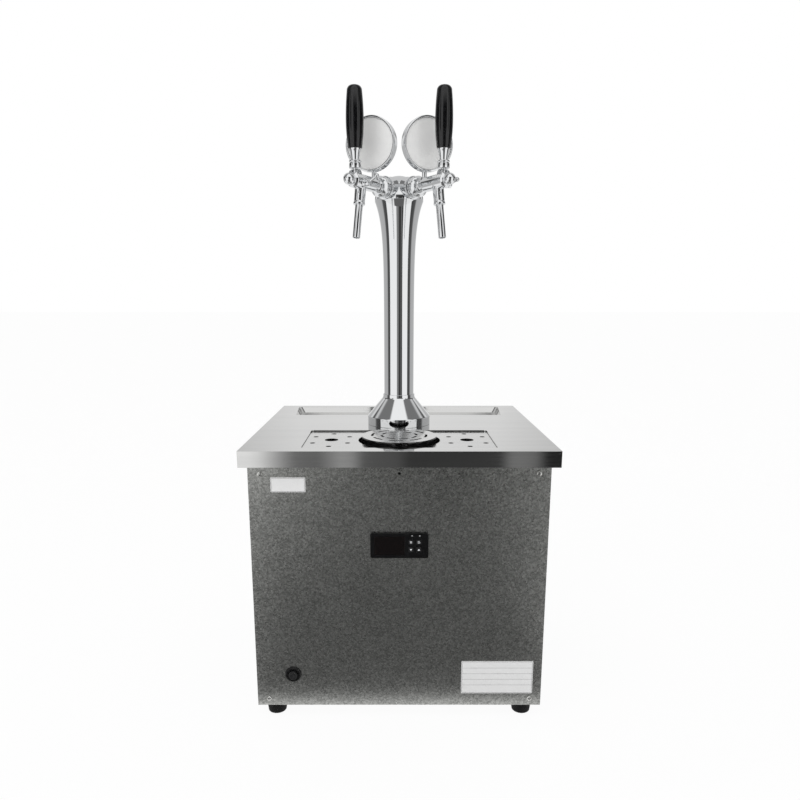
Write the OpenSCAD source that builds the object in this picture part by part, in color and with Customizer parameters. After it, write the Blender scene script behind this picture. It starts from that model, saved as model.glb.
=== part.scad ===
// Two-tap draft beer dispenser: a chilled cabinet with a pressed steel top, a drip tray with a glass
// rinser, and a chromed tower that carries two taps. Millimetres, front towards -Y, +Z up.
// The origin is on the floor, under the middle of the top plate.

/* [Cabinet] */
// Width across the side panels
cab_w = 390; // [375:5:440]
// Depth from front panel to rear panel
cab_d = 355; // [345:5:410]
// Height of the work top above the floor
top_z = 382; // [375:1:440]
// Thickness of the panels and of the base pan
sheet_t = 1.2; // [0.8:0.1:2]
// Leg width of a corner post
post_w = 20; // [18:1:26]
// Thickness of a corner post
post_t = 1.5; // [1:0.1:3]
// Height of the base pan's upturned edge
pan_edge_h = 15; // [8:1:20]
// Height of a rubber foot
foot_h = 20; // [12:1:40]
// Diameter of a foot under the pan
foot_d = 29; // [22:1:36]
// Diameter of a foot on the floor
foot_tip_d = 25; // [18:1:36]
// Distance of a foot's axis from the cabinet's faces
foot_inset = 22.5; // [19:0.5:40]

/* [Panel screws] */
// Shank diameter
screw_d = 3.5; // [2.5:0.1:5]
// Head diameter
screw_head_d = 7; // [6:0.1:9]
// Head height
screw_head_h = 2.4; // [1.5:0.1:4]
// Shank length
screw_len = 9; // [5:0.5:14]
// Distance from a panel's side edge
screw_inset = 15.5; // [11:0.5:16]
// Height of the lower row above the panel's bottom edge
screw_low = 10; // [7:0.5:20]
// Depth of the upper row below the work top
screw_high = 31.5; // [26:0.5:45]

/* [Top plate] */
// Overhang of the top past the cabinet on each side
overhang = 10; // [8:0.5:25]
// Height of the lip round the edge
lip_h = 21.5; // [15:0.5:24]
// Thickness of the top's sheet
plate_t = 1.5; // [1:0.1:2.5]
// Length of the rear trough
trough_w = 352; // [200:2:352]
// Width of the rear trough, front to back
trough_d = 86; // [60:1:86]
// Depth of the rear trough
trough_h = 9; // [5:0.5:12]
// Corner radius of the rear trough
trough_r = 8; // [4:0.5:12]
// Distance of the trough from the back edge of the top
trough_back = 14; // [14:0.5:20]

/* [Drip tray] */
// Width of the tray opening
tray_w = 255; // [248:1:300]
// Depth of the tray opening, front to back
tray_d = 120; // [118:1:124]
// Corner radius of the tray opening
tray_r = 4; // [2:0.5:8]
// Distance of the tray from the front edge of the top
tray_front = 21; // [19:0.5:24]
// Depth of the grille's ledge below the work top
ledge_depth = 3.2; // [2.5:0.1:6]
// Width of the ledge
ledge_w = 4; // [3:0.1:4.2]
// Depth of the basin below the work top
basin_depth = 32; // [24:1:38]
// Wall of the basin
basin_t = 1.2; // [0.8:0.1:2]
// Diameter of the drain tube
drain_d = 20; // [12:1:26]
// Length of the drain tube below the basin
drain_len = 18; // [8:1:20]
// Thickness of the grille
grille_t = 1.2; // [0.8:0.1:1.6]
// Gap round the grille
grille_gap = 0.4; // [0.3:0.1:1]
// Diameter of the grille's large drain holes
drip_hole_d = 18.5; // [10:0.5:20]
// Diameter of the grille's small drain holes
drip_small_d = 7; // [4:0.5:9]
// Distance of the hole groups from the middle of the grille
drip_group_x = 93; // [90:0.5:96]
// Sideways spacing of the small holes in a group
drip_side = 23.5; // [19:0.5:26]
// Half spacing, front to back, of the small holes beside the large one
drip_row = 21; // [14:0.5:24]
// Half spacing of the single small holes in front of and behind the large one
drip_end = 42; // [34:0.5:46]

/* [Glass rinser] */
// Diameter of the hole in the grille for the disc
rinser_hole_d = 112; // [108:0.5:113]
// Diameter of the disc
disc_d = 102; // [92:0.5:104]
// Thickness of the disc
disc_t = 2; // [1.5:0.1:3]
// Height of the disc's top above the work top
disc_up = 4.5; // [4:0.1:8]
// Diameter of the disc's stem
stem_d = 10; // [8:0.5:12]
// Running clearance round the stem
stem_gap = 0.08; // [0.05:0.01:0.1]
// Diameter of the valve's guide tube
valve_d = 22; // [18:0.5:24]
// Diameter of the valve's flange on the basin floor
valve_flange_d = 34; // [28:0.5:40]
// Length of the valve below the basin
valve_below = 22; // [16:1:24]
// Width of an arc slot in the disc
arc_w = 3.4; // [2:0.1:4]
// Middle radii of the two rings of arc slots
arc_radii = [24, 37];

/* [Controller and switch] */
// Width of the controller's bezel
ctrl_w = 76; // [70:1:90]
// Height of the controller's bezel
ctrl_h = 34; // [33:1:40]
// How far the bezel stands out of the panel
ctrl_out = 4; // [3:0.5:7]
// Depth of the controller's case behind the panel
ctrl_case = 58; // [40:1:64]
// Width of the bezel's rim over the panel cut-out
ctrl_rim = 2.7; // [2:0.1:4]
// Gap between the case and the panel cut-out
ctrl_gap = 0.3; // [0.1:0.1:0.6]
// Height of the controller's middle above the floor
ctrl_z = 254; // [245:1:300]
// Size of a square key
key_s = 6.4; // [5:0.1:7]
// Distance between key middles
key_pitch = 10.4; // [9:0.1:11]
// Distance of the key block's middle from the controller's middle
key_x = 20.3; // [18:0.1:22]
// How far a key stands out of the bezel
key_out = 0.8; // [0.6:0.1:2]
// Gap round a key
key_gap = 0.3; // [0.2:0.05:0.5]
// Diameter of the switch's bezel
switch_d = 22.5; // [20:0.5:26]
// Diameter of the panel hole for the switch
switch_hole_d = 19; // [16:0.5:19.5]
// Diameter of the push button
button_d = 12; // [8:0.5:13]
// Distance of the switch's middle from the left side panel's face
switch_in = 50; // [45:1:70]
// Height of the switch above the floor
switch_z = 67; // [60:1:90]

/* [Tower] */
// Distance of the tower's axis behind the middle of the top
tower_y = 13; // [8:0.5:24]
// Diameter of the column
column_d = 44.5; // [43:0.5:48]
// Wall of the column
column_wall = 1.8; // [1.2:0.1:2]
// Diameter of the column's flared top
flare_d = 70; // [68:0.5:74]
// Height of the flared top above the work top
flare_z = 324; // [280:1:360]
// Length over which the flare dies out
flare_len = 32; // [20:1:40]
// Diameter of the bell-shaped base
base_d = 95; // [92:1:100]
// Height of the base's straight rim
base_rim_h = 12.5; // [10:0.5:16]
// Height of the base
base_h = 46; // [34:1:60]
// Wall of the domed cap
cap_wall = 2.5; // [2:0.1:4]
// Diameter of the tower's studs
stud_d = 6; // [5:0.5:8]
// Diameter of the circle of studs
stud_pcd = 72; // [68:0.5:76]
// Diameter of the beer lines
line_d = 9.5; // [8:0.1:10]
// Gap between column, foam and lines
foam_gap = 0.3; // [0.2:0.05:0.6]

/* [Taps] */
// Angle of each tap to the side
tap_yaw = 31; // [29:0.5:40]
// Height of the tap axis above the column's flared top
tap_up = 14; // [14:0.5:16]
// Distance of the handle from the tower's axis
handle_u = 111; // [110:0.5:125]
// Distance of the cap's tap bosses from the tower's axis
boss_u = 38; // [37.5:0.5:40]
// Diameter of a tap boss
boss_d = 26; // [24:0.5:26.5]
// Diameter of a shank
shank_d = 20; // [18:0.2:20.4]
// Diameter of a shank's flange
flange_d = 31; // [29:0.5:33]
// Thickness of a shank's flange
flange_t = 4; // [3:0.5:5]
// Diameter of a coupling nut
nut_d = 28; // [26:0.5:30]
// Length of a coupling nut
nut_len = 14; // [13:0.5:15]
// Diameter of a tap body round its valve
tap_d = 19; // [18.5:0.1:19.5]
// Diameter of the bore for the plunger
tap_bore = 11; // [10.6:0.1:11.2]
// Gap between the plunger and its bore, on the radius
plunger_gap = 0.3; // [0.2:0.05:0.4]
// Diameter of the ball at a tap's nose
nose_d = 15; // [12:0.5:16]
// Tilt of a spout from upright
spout_tilt = 10; // [6:0.5:12]
// Distance of a spout's axis behind the handle, at the tap axis
spout_back = 13; // [13:0.5:15]
// Diameter of a spout
spout_d = 10; // [8:0.5:10.5]
// Wall of a spout
spout_wall = 1; // [0.6:0.1:1.5]
// Length from the tap axis to a spout's mouth
spout_len = 73; // [55:1:90]
// Length of the tap's socket for a spout
socket_len = 30; // [26:0.5:34]
// Depth of a spout in its socket
spout_depth = 9; // [6:0.5:12]

/* [Tap levers and handles] */
// Height of a lever's pivot above the tap axis
pivot_up = 8; // [8:0.1:8.4]
// Diameter of a lever's trunnion
trunnion_d = 6; // [5.6:0.1:6]
// Clearance round a trunnion, on the radius
trunnion_gap = 0.08; // [0.05:0.01:0.1]
// Diameter of the cross barrel that holds a trunnion
cross_d = 11.4; // [11:0.1:11.6]
// Height of a lever's collar above its pivot
collar_up = 6.2; // [6:0.1:7]
// Diameter of a lever's collar
collar_d = 16; // [14:0.5:16.5]
// Height of a lever's collar
collar_h = 10; // [7:0.5:14]
// Length of a ferrule
ferrule_h = 14.5; // [10:0.5:20]
// Diameter of a ferrule at the handle
ferrule_d = 16.6; // [13:0.2:17]
// Diameter of a ferrule at the collar
ferrule_tip_d = 11; // [10:0.2:14]
// Length of a handle
handle_h = 75; // [60:1:100]
// Largest diameter of a handle
handle_d = 23; // [19:0.5:25]
// Share of its length at which a handle is widest
handle_belly = 0.45; // [0.35:0.01:0.6]
// Diameter of a handle at the ferrule
handle_foot_d = 18; // [17:0.2:19]
// Radius of the rounding on top of a handle
handle_round = 6; // [3:0.5:7]
// Diameter of the stud that carries ferrule and handle
handle_stud_d = 7; // [5:0.5:8]
// Distance of a flow lever behind the handle
flow_back = 8; // [7.5:0.5:9]
// Distance of a flow lever's hub from the tap axis
flow_hub_x = 12; // [11:0.5:14]
// Length of a flow lever's arm
flow_arm = 15; // [10:0.5:20]

/* [Medallions] */
// Diameter of a medallion
medal_d = 70; // [60:1:80]
// Thickness of a medallion
medal_t = 13; // [8:0.5:14]
// Width of the rim round a medallion's face
medal_rim = 2.6; // [1.5:0.1:5]
// Depth of the face below the rim
medal_dish = 1.5; // [0.5:0.1:3]
// Distance of a medallion's stem from the tower's axis
medal_u = 66; // [65:0.5:70]
// Turn of a medallion from its tap's axis towards the front
medal_turn = 10; // [0:1:20]
// Length of the stem between tap and medallion
medal_stem = 5; // [3:0.5:20]
// Diameter of a medallion's stem
medal_stem_d = 6.4; // [5:0.2:7]

/* [Cooling] */
// Distance of the tank's left face from the tower's axis
tank_reach = 42; // [38:1:46]
// Gap between the tank and the right side panel
tank_side_gap = 12; // [8:1:20]
// Gap between the tank and the rear panel
tank_rear_gap = 23; // [16:1:30]
// Outer depth of the insulated tank
tank_d = 226; // [200:1:240]
// Wall of the tank
tank_wall = 16; // [14:0.5:17]
// Thickness of the lid
lid_t = 20; // [12:1:22]
// Gap between the lid and the fittings under the drip tray
lid_gap = 15; // [10:1:30]
// Gap between a coil and its neighbour or the tank's wall
coil_gap = 6; // [4:0.5:8]
// Diameter of the compressor
comp_d = 120; // [100:1:126]
// Height of the compressor
comp_h = 165; // [140:1:190]
// Gap between the compressor and the front panel
comp_front = 36; // [32:1:42]
// Height of the compressor's rubber mounts
mount_h = 12; // [8:1:16]
// Width and height of the condenser
cond_s = 150; // [130:1:156]
// Thickness of the condenser
cond_t = 28; // [20:1:30]
// Diameter of the fan
fan_d = 128; // [100:1:130]
// Diameter of the evaporator's tube
evap_d = 8; // [6:0.5:9]

/* [Hidden] */
$fn = 64;

// Small allowance that keeps a cut clear of the face it starts from
eps = 0.5;
// Clearances across a close hole and across a loose one
hole_fit = 0.3;
loose_fit = 0.4;
plate_w = cab_w + 2 * overhang;
plate_d = cab_d + 2 * overhang;
under_z = top_z - plate_t;
pan_z = foot_h + sheet_t;
inner_w = cab_w - 2 * sheet_t;
inner_d = cab_d - 2 * sheet_t;
post_top = under_z - trough_h - 2 * plate_t;
screw_rows = [foot_h + screw_low, top_z - screw_high];
screw_hole = screw_d + hole_fit;
// Each wall: its turn about Z, its width, and the distance between it and the wall opposite
WALLS = [[0, cab_w, cab_d], [90, cab_d, cab_w], [180, cab_w, cab_d], [270, cab_d, cab_w]];

tray_y = -plate_d / 2 + tray_front + tray_d / 2;
trough_y = plate_d / 2 - trough_back - trough_d / 2;
ledge_z = top_z - ledge_depth;
floor_z = top_z - basin_depth;
disc_z = top_z + disc_up - disc_t;
switch_x = switch_in - cab_w / 2;

tap_z = top_z + flare_z + tap_up;
line_u = 14;
line_bend = 12;
shank_in = line_u + line_bend;
nut_u = boss_u + flange_t + 1;
nut_end = nut_u + nut_len;
lip_t = 2.5;
tail_u = nut_end - lip_t - 3.5;
collar_z = pivot_up + collar_up;
ferrule_z = collar_z + collar_h;
handle_z = ferrule_z + ferrule_h;
tip_d = 4.4;
plunger_d = tap_bore - 2 * plunger_gap;

lid_top = floor_z - max(valve_below, drain_len) - lid_gap;
tank_top = lid_top - lid_t;
tank_h = tank_top - pan_z;
tank_w = inner_w / 2 - tank_side_gap + tank_reach;
tank_x = tank_w / 2 - tank_reach;
tank_y = inner_d / 2 - tank_rear_gap - tank_d / 2;
tank_floor = pan_z + tank_wall;
tank_inner = min(tank_w, tank_d) - 2 * tank_wall;
comp_x = -(inner_w / 2 + tank_reach) / 2;
comp_y = -inner_d / 2 + comp_front + comp_d / 2;
cond_gap = 18;
cond_x = -inner_w / 2 + cond_gap;
cond_up = 8;
fan_y = 76;
fan_z = pan_z + cond_up + cond_s / 2;
fan_gap = 6;
fan_len = 18;
motor_gap = 4;
shroud_t = 3;
shroud_x = cond_x + cond_t;
fan_x = shroud_x + shroud_t + fan_gap;
motor_x = fan_x + fan_len + motor_gap;

STEEL = "silver";
CHROME = "gainsboro";
ZINC = "slategray";
BLACK = "#1c1c1e";
FOAM = "#d9d2b4";
COPPER = "#b87333";

// Plane outlines

module rounded_rect(w, d, r) {
    square([w - 2 * r, d], center = true);
    square([w, d - 2 * r], center = true);
    for (x = [-1, 1], y = [-1, 1])
        translate([x * (w / 2 - r), y * (d / 2 - r)]) circle(r);
}

module stadium(length, h) {
    square([length - h, h], center = true);
    for (x = [-1, 1]) translate([x * (length - h) / 2, 0]) circle(d = h);
}

// A block with rounded corners that rises from z = 0
module rounded_block(w, d, r, h) {
    linear_extrude(h) rounded_rect(w, d, r);
}

// A ring about Z
module ring(outer_d, inner_d, h) {
    difference() {
        cylinder(d = outer_d, h = h);
        translate([0, 0, -eps]) cylinder(d = inner_d, h = h + 2 * eps);
    }
}

// Cabinet

// Puts children on a wall: x runs along the wall, y into the cabinet from its outer face
module on_wall(wall) {
    rotate([0, 0, wall[0]]) translate([0, -wall[2] / 2, 0]) children();
}

module at_screws() {
    for (wall = WALLS)
        on_wall(wall)
            for (s = [-1, 1], z = screw_rows)
                translate([s * (wall[1] / 2 - screw_inset), 0, z]) rotate([-90, 0, 0]) children();
}

module screw_holes() {
    at_screws() translate([0, 0, -eps]) cylinder(d = screw_hole, h = screw_len + 2 * eps);
}

// A flat panel of a wall, as wide as the wall or, between its neighbours, less their sheets
module wall_panel(wall, w) {
    difference() {
        on_wall(wall) translate([-w / 2, 0, foot_h]) cube([w, sheet_t, under_z - foot_h]);
        screw_holes();
        on_wall(wall) children();
    }
}

// Cuts a hole of the given outline through a panel
module cut_panel(x, z) {
    translate([x, sheet_t + eps, z]) rotate([90, 0, 0]) linear_extrude(sheet_t + 2 * eps) children();
}

// Rows of vent slots, in columns side by side
module vents(x, z, columns, rows, slot_w = 42, slot_h = 4, pitch_x = 50, pitch_z = 11) {
    for (i = [0 : columns - 1], j = [0 : rows - 1])
        cut_panel(x + (i - (columns - 1) / 2) * pitch_x, z + (j - (rows - 1) / 2) * pitch_z)
            stadium(slot_w, slot_h);
}

module base_pan() {
    color(ZINC) difference() {
        union() {
            translate([-inner_w / 2, -inner_d / 2, foot_h]) cube([inner_w, inner_d, sheet_t]);
            for (wall = WALLS) {
                edge_w = wall[1] - 2 * sheet_t - 2 * post_w - 2;
                on_wall(wall) translate([-edge_w / 2, sheet_t, foot_h]) cube([edge_w, sheet_t, pan_edge_h]);
            }
        }
        at_feet() translate([0, 0, -eps]) cylinder(d = screw_hole, h = foot_h + sheet_t + 2 * eps);
    }
}

module front_panel() {
    color(ZINC) wall_panel(WALLS[0], cab_w) {
        cut_panel(0, ctrl_z) square([ctrl_w - 2 * ctrl_rim, ctrl_h - 2 * ctrl_rim], center = true);
        cut_panel(switch_x, switch_z) circle(d = switch_hole_d);
        cut_panel(0, screw_rows[1]) circle(d = screw_hole);
    }
}

vent_up = 28;

module right_side_panel() {
    color(ZINC) wall_panel(WALLS[1], inner_d) vents(tank_y, lid_top + vent_up, 3, 2);
}

module rear_panel() {
    color(ZINC) wall_panel(WALLS[2], cab_w) {
        vents(-motor_x, fan_z, 2, 11);
        for (i = [0, 1]) cut_panel(-inlet_x(i), inlet_z(i)) circle(d = inlet_d);
        cut_panel(-gland_x, gland_z) circle(d = gland_d);
    }
}

module left_side_panel() {
    color(ZINC) wall_panel(WALLS[3], inner_d) vents(-fan_y, fan_z, 3, 13);
}

module corner_posts() {
    color(ZINC) difference() {
        for (x = [-1, 1], y = [-1, 1])
            in_quarter(x, y) translate([inner_w / 2, inner_d / 2, pan_z]) {
                translate([-post_w, -post_t, 0]) cube([post_w, post_t, post_top - pan_z]);
                translate([-post_t, -post_w, 0]) cube([post_t, post_w, post_top - pan_z]);
            }
        screw_holes();
    }
}

// Mirrors children into one of the four quarters
module in_quarter(x, y) {
    mirror([x < 0 ? 1 : 0, 0, 0]) mirror([0, y < 0 ? 1 : 0, 0]) children();
}

module panel_screws() {
    color(STEEL) at_screws() {
        cylinder(d = screw_d, h = screw_len);
        translate([0, 0, -screw_head_h / 2]) cylinder(d = screw_head_d, h = screw_head_h / 2);
        translate([0, 0, -screw_head_h])
            cylinder(d1 = screw_head_d * 0.6, d2 = screw_head_d, h = screw_head_h / 2);
    }
}

module at_feet() {
    for (x = [-1, 1], y = [-1, 1])
        translate([x * (cab_w / 2 - foot_inset), y * (cab_d / 2 - foot_inset), 0]) children();
}

module feet() {
    color(BLACK) at_feet() difference() {
        union() {
            cylinder(d1 = foot_tip_d, d2 = foot_d, h = foot_h * 0.7);
            translate([0, 0, foot_h * 0.7]) cylinder(d = foot_d, h = foot_h * 0.3);
        }
        translate([0, 0, -eps]) cylinder(d = foot_tip_d * 0.45, h = foot_h * 0.4);
        cylinder(d = screw_hole, h = foot_h + eps);
    }
}

// Distance of the plate's hole from the inside of the column
plate_edge = 0.5;

module top_plate() {
    color(STEEL) difference() {
        union() {
            difference() {
                translate([-plate_w / 2, -plate_d / 2, top_z - lip_h]) cube([plate_w, plate_d, lip_h]);
                translate([-plate_w / 2 + plate_t, -plate_d / 2 + plate_t, top_z - lip_h - eps])
                    cube([plate_w - 2 * plate_t, plate_d - 2 * plate_t, lip_h - plate_t + eps]);
            }
            translate([0, trough_y, under_z - trough_h]) linear_extrude(trough_h + eps)
                rounded_rect(trough_w + 2 * plate_t, trough_d + 2 * plate_t, trough_r + plate_t);
        }
        translate([0, trough_y, top_z - trough_h])
            rounded_block(trough_w, trough_d, trough_r, trough_h + eps);
        translate([0, tray_y, under_z - eps]) rounded_block(tray_w, tray_d, tray_r, plate_t + 2 * eps);
        translate([0, tower_y, under_z - eps])
            cylinder(d = column_d - 2 * column_wall + 2 * plate_edge, h = plate_t + 2 * eps);
        at_studs() translate([0, 0, under_z - eps]) cylinder(d = stud_d + loose_fit, h = plate_t + 2 * eps);
    }
}

// Drip tray and rinser

module drip_basin() {
    low_w = tray_w - 2 * ledge_w;
    low_d = tray_d - 2 * ledge_w;
    color(STEEL) translate([0, tray_y, 0]) difference() {
        union() {
            translate([0, 0, ledge_z - basin_t]) linear_extrude(under_z - ledge_z + basin_t)
                rounded_rect(tray_w + 2 * basin_t, tray_d + 2 * basin_t, tray_r + basin_t);
            translate([0, 0, floor_z])
                rounded_block(low_w + 2 * basin_t, low_d + 2 * basin_t, tray_r + basin_t, ledge_z - floor_z);
            translate([-drip_group_x, 0, floor_z - drain_len]) cylinder(d = drain_d, h = drain_len + eps);
        }
        translate([0, 0, ledge_z]) rounded_block(tray_w, tray_d, tray_r, ledge_depth + eps);
        translate([0, 0, floor_z + basin_t]) rounded_block(low_w, low_d, tray_r, basin_depth);
        translate([-drip_group_x, 0, floor_z - drain_len - eps])
            cylinder(d = drain_d - 2 * basin_t, h = drain_len + basin_t + 2 * eps);
        translate([0, 0, floor_z - eps]) cylinder(d = valve_d + loose_fit, h = basin_t + 2 * eps);
    }
}

// Places of the small holes round a large one
DRIPS = [
    [-drip_side, -drip_row], [drip_side, -drip_row], [-drip_side, drip_row], [drip_side, drip_row],
    [0, -drip_end], [0, drip_end]
];

module drip_grille() {
    cut = grille_t + 2 * eps;
    color(STEEL) translate([0, tray_y, ledge_z]) difference() {
        rounded_block(tray_w - 2 * grille_gap, tray_d - 2 * grille_gap, tray_r, grille_t);
        translate([0, 0, -eps]) cylinder(d = rinser_hole_d, h = cut, $fn = 96);
        for (s = [-1, 1]) translate([s * drip_group_x, 0, -eps]) {
            cylinder(d = drip_hole_d, h = cut);
            for (place = DRIPS) translate([place.x, place.y, 0]) cylinder(d = drip_small_d, h = cut);
        }
    }
}

disc_boss_h = 5;
disc_guide = 12;
stem_foot = 4;
valve_flange_t = 3;
valve_nut_t = 8;
valve_end = 6;
arc_count = 8;
arc_span = 30;

module rinser_disc() {
    color(STEEL) translate([0, tray_y, 0]) {
        difference() {
            translate([0, 0, disc_z]) cylinder(d = disc_d, h = disc_t, $fn = 96);
            for (k = [0 : len(arc_radii) - 1], i = [0 : arc_count - 1])
                rotate([0, 0, 360 / arc_count * (i + k / 2)]) translate([0, 0, disc_z - eps])
                    rotate_extrude(angle = arc_span, $fn = 96)
                        translate([arc_radii[k] - arc_w / 2, 0]) square([arc_w, disc_t + 2 * eps]);
        }
        translate([0, 0, disc_z - disc_boss_h]) cylinder(d = valve_d, h = disc_boss_h + eps);
        translate([0, 0, floor_z + stem_foot]) cylinder(d = stem_d, h = disc_z - floor_z - stem_foot);
    }
}

module rinser_valve() {
    foot_z = floor_z - valve_below;
    color(CHROME) translate([0, tray_y, 0]) difference() {
        union() {
            translate([0, 0, floor_z + basin_t]) cylinder(d = valve_flange_d, h = valve_flange_t);
            translate([0, 0, foot_z]) cylinder(d = valve_d, h = disc_z - disc_guide - foot_z);
            translate([0, 0, floor_z - valve_nut_t]) cylinder(d = valve_flange_d, h = valve_nut_t, $fn = 6);
        }
        translate([0, 0, foot_z + valve_end])
            cylinder(d = stem_d + 2 * stem_gap, h = basin_depth + valve_below);
    }
}

// Controls on the front panel

// Places of the keys from the controller's middle, across and up
KEYS = [
    [key_x - key_pitch / 2, key_pitch / 2], [key_x + key_pitch / 2, key_pitch / 2],
    [key_x - key_pitch / 2, -key_pitch / 2], [key_x + key_pitch / 2, -key_pitch / 2]
];
key_pocket = 2.6;
key_deep = 1.6;
window_w = 40;
window_x = -13;
window_t = 1.2;
case_w = ctrl_w - 2 * ctrl_rim - 2 * ctrl_gap;
case_h = ctrl_h - 2 * ctrl_rim - 2 * ctrl_gap;

module on_controller() {
    on_wall(WALLS[0]) translate([0, -ctrl_out, ctrl_z]) rotate([90, 0, 0]) children();
}

window_h = case_h - 2;
ctrl_r = 2;
window_r = 1.5;
key_r = 1.2;

module controller_housing() {
    color(BLACK) difference() {
        union() {
            on_controller() translate([0, 0, -ctrl_out]) rounded_block(ctrl_w, ctrl_h, ctrl_r, ctrl_out);
            on_controller() translate([0, 0, -ctrl_out - ctrl_case])
                linear_extrude(ctrl_case + eps) square([case_w, case_h], center = true);
        }
        on_controller() translate([window_x, 0, -window_t])
            rounded_block(window_w, window_h, window_r, window_t + eps);
        for (key = KEYS)
            on_controller() translate([key.x, key.y, -key_pocket])
                rounded_block(key_s + 2 * key_gap, key_s + 2 * key_gap, key_r + key_gap, key_pocket + eps);
    }
}

module controller_window() {
    color("#26100f") on_controller() translate([window_x, 0, -window_t])
        rounded_block(window_w - hole_fit, window_h - hole_fit, window_r, window_t);
}

module key(i) {
    color(BLACK) on_controller() translate([KEYS[i].x, KEYS[i].y, -key_deep])
        rounded_block(key_s, key_s, key_r, key_deep + key_out);
}

switch_out = 3;
switch_case = 26;
button_out = 2;
button_len = 12;
button_travel = 3;
button_gap = 0.3;
button_edge = 1;
switch_edge = 1.5;

module on_switch() {
    on_wall(WALLS[0]) translate([switch_x, 0, switch_z]) rotate([90, 0, 0]) children();
}

module switch_housing() {
    color(BLACK) on_switch() difference() {
        union() {
            cylinder(d1 = switch_d, d2 = switch_d - 2 * switch_edge, h = switch_out);
            translate([0, 0, -switch_case]) cylinder(d = switch_hole_d - loose_fit, h = switch_case + eps);
        }
        translate([0, 0, switch_out + button_out - button_len - button_travel - button_edge])
            cylinder(d = button_d + 2 * button_gap, h = switch_case);
    }
}

module power_button() {
    color(BLACK) on_switch() translate([0, 0, switch_out + button_out - button_len]) {
        cylinder(d = button_d, h = button_len - button_edge);
        translate([0, 0, button_len - button_edge])
            cylinder(d1 = button_d, d2 = button_d - 2 * button_edge, h = button_edge);
    }
}

// Tower

function bezier(a, b, c, t) = a * (1 - t) * (1 - t) + b * 2 * t * (1 - t) + c * t * t;
function column_r(z) = column_d / 2 + (flare_d - column_d) / 2 * exp((z - flare_z) / flare_len);

column_fit = 0.15;
flare_steps = 18;
// Heights at which the flare's profile is drawn, closer together towards its top
FLARE_Z = [for (i = [0 : flare_steps]) let (s = 1 - i / flare_steps) flare_z - 5 * flare_len * s * s];

module at_tower() {
    translate([0, tower_y, top_z]) children();
}

module at_studs() {
    translate([0, tower_y, 0])
        for (a = [45 : 90 : 315]) rotate([0, 0, a]) translate([stud_pcd / 2, 0, 0]) children();
}

// Radius of the base's bell at a share t of its height
function bell_r(t) = base_d / 2 - (base_d / 2 - bell_neck_r) * t * t * (3 - 2 * t);

base_bore_r = column_d / 2 + column_fit;
bell_neck_r = base_bore_r + 1.4;
bell_steps = 16;
base_edge = 0.8;
stud_cover = 3;

module tower_base() {
    rim = base_d / 2;
    bell_h = base_h - base_rim_h;
    color(CHROME) difference() {
        at_tower() rotate_extrude($fn = 96) polygon(concat(
            [[base_bore_r, 0], [rim - base_edge, 0], [rim, base_edge]],
            [for (i = [0 : bell_steps]) let (t = i / bell_steps) [bell_r(t), base_rim_h + bell_h * t]],
            [[base_bore_r, base_h]]
        ));
        at_studs() translate([0, 0, top_z - eps])
            cylinder(d = stud_d + hole_fit, h = base_rim_h - stud_cover + eps);
    }
}

module tower_column() {
    color(CHROME) at_tower() rotate_extrude($fn = 96) polygon(concat(
        [[column_d / 2 - column_wall, 0], [column_d / 2, 0]],
        [for (z = FLARE_Z) [column_r(z), z]],
        [for (i = [flare_steps : -1 : 0]) [column_r(FLARE_Z[i]) - column_wall, FLARE_Z[i]]]
    ));
}

module tower_cap() {
    dome = flare_d / 2;
    spigot_fit = column_wall + column_fit;
    spigot_h = 8;
    spigot_wall = 2;
    spigot_weld = 0.4;
    color(CHROME) {
        difference() {
            union() {
                at_tower() translate([0, 0, flare_z]) intersection() {
                    sphere(r = dome, $fn = 96);
                    cylinder(r = dome + eps, h = dome + eps);
                }
                for (side = [-1, 1])
                    tap(side) translate([0, 0, shank_in]) cylinder(d = boss_d, h = boss_u - shank_in);
            }
            at_tower() translate([0, 0, flare_z]) sphere(r = dome - cap_wall, $fn = 96);
            for (side = [-1, 1]) tap(side) cylinder(d = shank_d + hole_fit, h = boss_u + eps);
        }
        at_tower() rotate_extrude($fn = 96) polygon(concat(
            [for (z = [flare_z - spigot_h : 2 : flare_z]) [column_r(z) - spigot_fit, z]],
            [for (r = [dome, dome - spigot_wall]) [r - spigot_fit, flare_z + spigot_weld]],
            [for (z = [flare_z : -2 : flare_z - spigot_h]) [column_r(z) - spigot_fit - spigot_wall, z]]
        ));
    }
}

stud_below = 14;
stud_end = 1;
stud_washer_t = 1.5;
stud_nut_t = 5;

module tower_studs() {
    stud_len = stud_below + plate_t + base_rim_h - stud_cover - stud_end;
    color(STEEL) at_studs() {
        translate([0, 0, under_z - stud_below]) cylinder(d = stud_d, h = stud_len);
        translate([0, 0, under_z - stud_washer_t]) cylinder(d = stud_d * 2.2, h = stud_washer_t);
        translate([0, 0, under_z - stud_washer_t - stud_nut_t])
            cylinder(d = stud_d * 1.9, h = stud_nut_t, $fn = 6);
    }
}

foam_end = 10;

module column_foam() {
    color(FOAM) difference() {
        translate([0, tower_y, lid_top])
            cylinder(d = column_d - 2 * column_wall - 2 * foam_gap, h = top_z + flare_z - lid_top - foam_end);
        for (side = [-1, 1]) at_line(side) translate([0, 0, lid_top - eps])
            cylinder(d = line_d + 2 * foam_gap, h = flare_z + top_z);
    }
}

function line_x(side) = side * line_u * sin(tap_yaw);
line_y = tower_y - line_u * cos(tap_yaw);

module at_line(side) {
    translate([line_x(side), line_y, 0]) children();
}

line_wall = 1.5;

module beer_lines() {
    color("ivory") for (side = [-1, 1]) {
        at_line(side) translate([0, 0, lid_top])
            ring(line_d, line_d - 2 * line_wall, tap_z - line_bend - lid_top);
        tap(side) upright(0) translate([0, -shank_in, -line_bend]) rotate([90, 0, 90])
            rotate_extrude(angle = 90) translate([line_bend, 0]) difference() {
                circle(d = line_d);
                circle(d = line_d - 2 * line_wall);
            }
    }
}

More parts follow.
